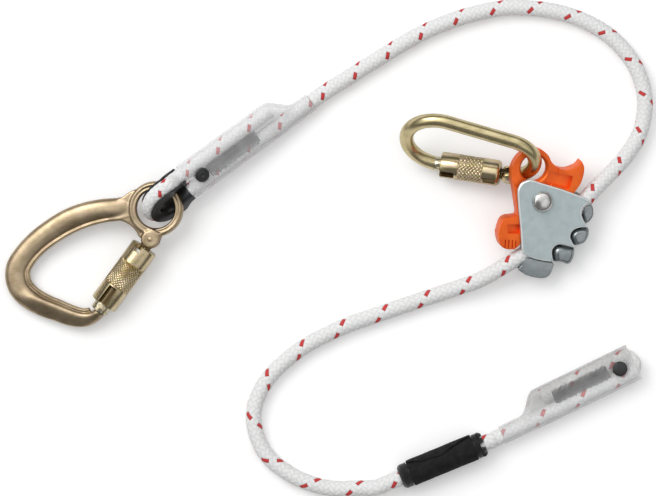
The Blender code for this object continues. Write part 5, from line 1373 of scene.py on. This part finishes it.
# Stop on the rope: a black rubber core with a collar at each end, the far one toothed, and a
# black band wrapped round between them, its edge running across the top.
STOP_FRAME = framed((0.056088, -0.13941, 0.0105), (0.92477, 0.38053, 0.0), (-0.38053, 0.92477, 0.0))
STOP_LENGTH = 67.8
stop_rubber = moulded("stop_rubber", (0.030, 0.030, 0.031, 1), (0.014, 0.014, 0.015, 1), 0.25, 0.00012, 700.0)
wrap_cloth = moulded("wrap_cloth", (0.014, 0.014, 0.014, 1), (0.007, 0.007, 0.007, 1), 0.75, 0.0002, 1700.0)
wrap_cloth.node_tree.nodes["Principled BSDF"].inputs["Specular IOR Level"].default_value = 0.2
core_profile = [(0, 6.3), (-0.0, 7.3), (0.4, 7.9), (1.2, 8.7), (2.4, 9.35)]
core_profile += [(2.4 + 5.1 * k / 24, 9.4 + 0.18 * math.cos(math.tau * k / 4)) for k in range(25)]
core_profile += [(7.5, 8.2), (60.3, 8.2), (60.3, 9.5)]
core_profile += [(60.3 + 5.2 * k / 24, 9.4 + 0.2 * math.cos(math.tau * k / 4)) for k in range(25)]
core_profile += [(66.6, 8.9), (67.4, 8.3), (67.8, 7.4), (67.8, 6.3)]
core = turned(core_profile, 96)
for vert in core.verts:
    if vert.co.x > 64.0:
        turn = math.atan2(vert.co.y, vert.co.z)
        tooth = 0.5 + 0.5 * math.cos(6 * turn + 0.6)
        vert.co.x = 64.0 + (vert.co.x - 64.0) * (1 - 0.8 * max(0.0, min(1.0, 2.4 * tooth - 0.9)))
finished("stop_sleeve", core, STOP_FRAME, stop_rubber, "lanyard", "stop_core", "stop_rubber", 35)


def band_wall(around, along):
    """The wrap's closed wall: out along X, back inside, its lap a step in the outside."""
    rows = 80
    k = round(along * (rows * 2)) % (rows * 2)
    outside = k < rows
    share = (k if outside else 2 * rows - 1 - k) / (rows - 1)
    x = 7.9 + (STOP_LENGTH - 15.8) * share
    lap = math.radians(62 - 34 * math.sin(math.pi * min(1.0, share * 1.15)) + 3 * math.sin(share * 21))
    turn = math.tau * around
    angle = turn + lap
    rim = min(1.0, min(share, 1 - share) * 60)
    reach = 8.5
    if outside:
        reach = 9.35 + 0.85 * (1 - min(1.0, around / 0.985)) + 0.2 * rim * (1 if around < 0.2 else 0.6)
        reach += 0.05 * math.sin(turn * 3 + x * 0.4)
        reach -= 0.35 * (1 - rim)
    place = Vector((x, reach * math.sin(angle), reach * math.cos(angle)))
    return (STOP_FRAME @ place)


piece = skin("stop_band", 144, 160, band_wall)
piece.data.materials.append(wrap_cloth)
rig.ride(piece, "lanyard")
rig.replaces(piece, "stop_wrap")
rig.slot(piece, "stop_wrap")

free_cord(lower_rope, lower_line, lower_length, ["stop_sleeve", "stop_band"])

# Floor and light: a white matt floor that keeps the shadows, one large soft lamp from the upper
# left and a weak one from the lower right, and a surround with a bright ring round a dark middle,
# as a tent of cloth with an opening for the camera gives. The surround is white to the camera.
FLOOR_SIZE = 6.0
bm = bmesh.new()
bmesh.ops.create_grid(bm, x_segments=1, y_segments=1, size=FLOOR_SIZE)
floor = made("floor", bm)
floor_paint, tree, shader = material("floor_paint", Roughness=0.9)
shader.inputs["Base Color"].default_value = (0.9, 0.9, 0.9, 1.0)
shader.inputs["Emission Color"].default_value = (1.0, 1.0, 1.0, 1.0)
seen = node(tree, "LightPath").outputs["Is Camera Ray"]
tree.links.new(maths(tree, "MULTIPLY", seen, 0.2), shader.inputs["Emission Strength"])
floor.data.materials.append(floor_paint)
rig.stage(floor)

for name, place, size, power in (
    ("key", (-1.0, 1.0, 1.6), 1.2, 15.0),
    ("fill", (1.4, -0.9, 1.4), 1.4, 2.0),
):
    light = bpy.data.objects.new(name, bpy.data.lights.new(name, "AREA"))
    light.data.size = size
    light.data.energy = power
    light.location = place
    light.rotation_euler = (Vector((0, 0, 0)) - Vector(place)).to_track_quat("-Z", "Y").to_euler()
    bpy.context.scene.collection.objects.link(light)

world = bpy.data.worlds.new("surround")
bpy.context.scene.world = world
world.use_nodes = True
tree = world.node_tree
tree.nodes.clear()
towards = node(tree, "TexCoord").outputs["Generated"]
height = node(tree, "SeparateXYZ", {0: towards}).outputs[2]
side = node(tree, "VectorMath", {0: towards, 1: (-0.7, 0.7, 0.0)}, operation="DOT_PRODUCT").outputs["Value"]
low_edge = node(tree, "MapRange", {0: height, 1: 0.3, 2: 0.75}, interpolation_type="SMOOTHSTEP").outputs[0]
near = node(tree, "VectorMath", {0: towards, 1: (-0.25, -0.60, 0.76)}, operation="DOT_PRODUCT")
near = near.outputs["Value"]
gap = node(tree, "MapRange", {0: near, 1: 0.82, 2: 0.95, 3: 1.0, 4: 0.05}, interpolation_type="SMOOTHSTEP")
tent = maths(tree, "MULTIPLY", low_edge, gap.outputs[0])
tent = maths(tree, "MULTIPLY", tent, maths(tree, "ADD", maths(tree, "MULTIPLY", side, 0.8), 1.0))
glow = maths(tree, "ADD", maths(tree, "MULTIPLY", tent, 0.9), 0.16)
seen = node(tree, "LightPath").outputs["Is Camera Ray"]
strength = node(tree, "Mix", {0: seen, 2: glow, 3: 1.0}).outputs[0]
sky = node(tree, "Background", {"Color": (1.0, 1.0, 1.0, 1.0), "Strength": strength})
out = node(tree, "OutputWorld", {"Surface": sky.outputs[0]})
bpy.context.scene.view_settings.view_transform = "Standard"

with open("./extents.json", "w") as file:
    json.dump({"cad": [list(c) for c in cad_box], "scene": [list(c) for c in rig.bounds()]}, file, indent=1)
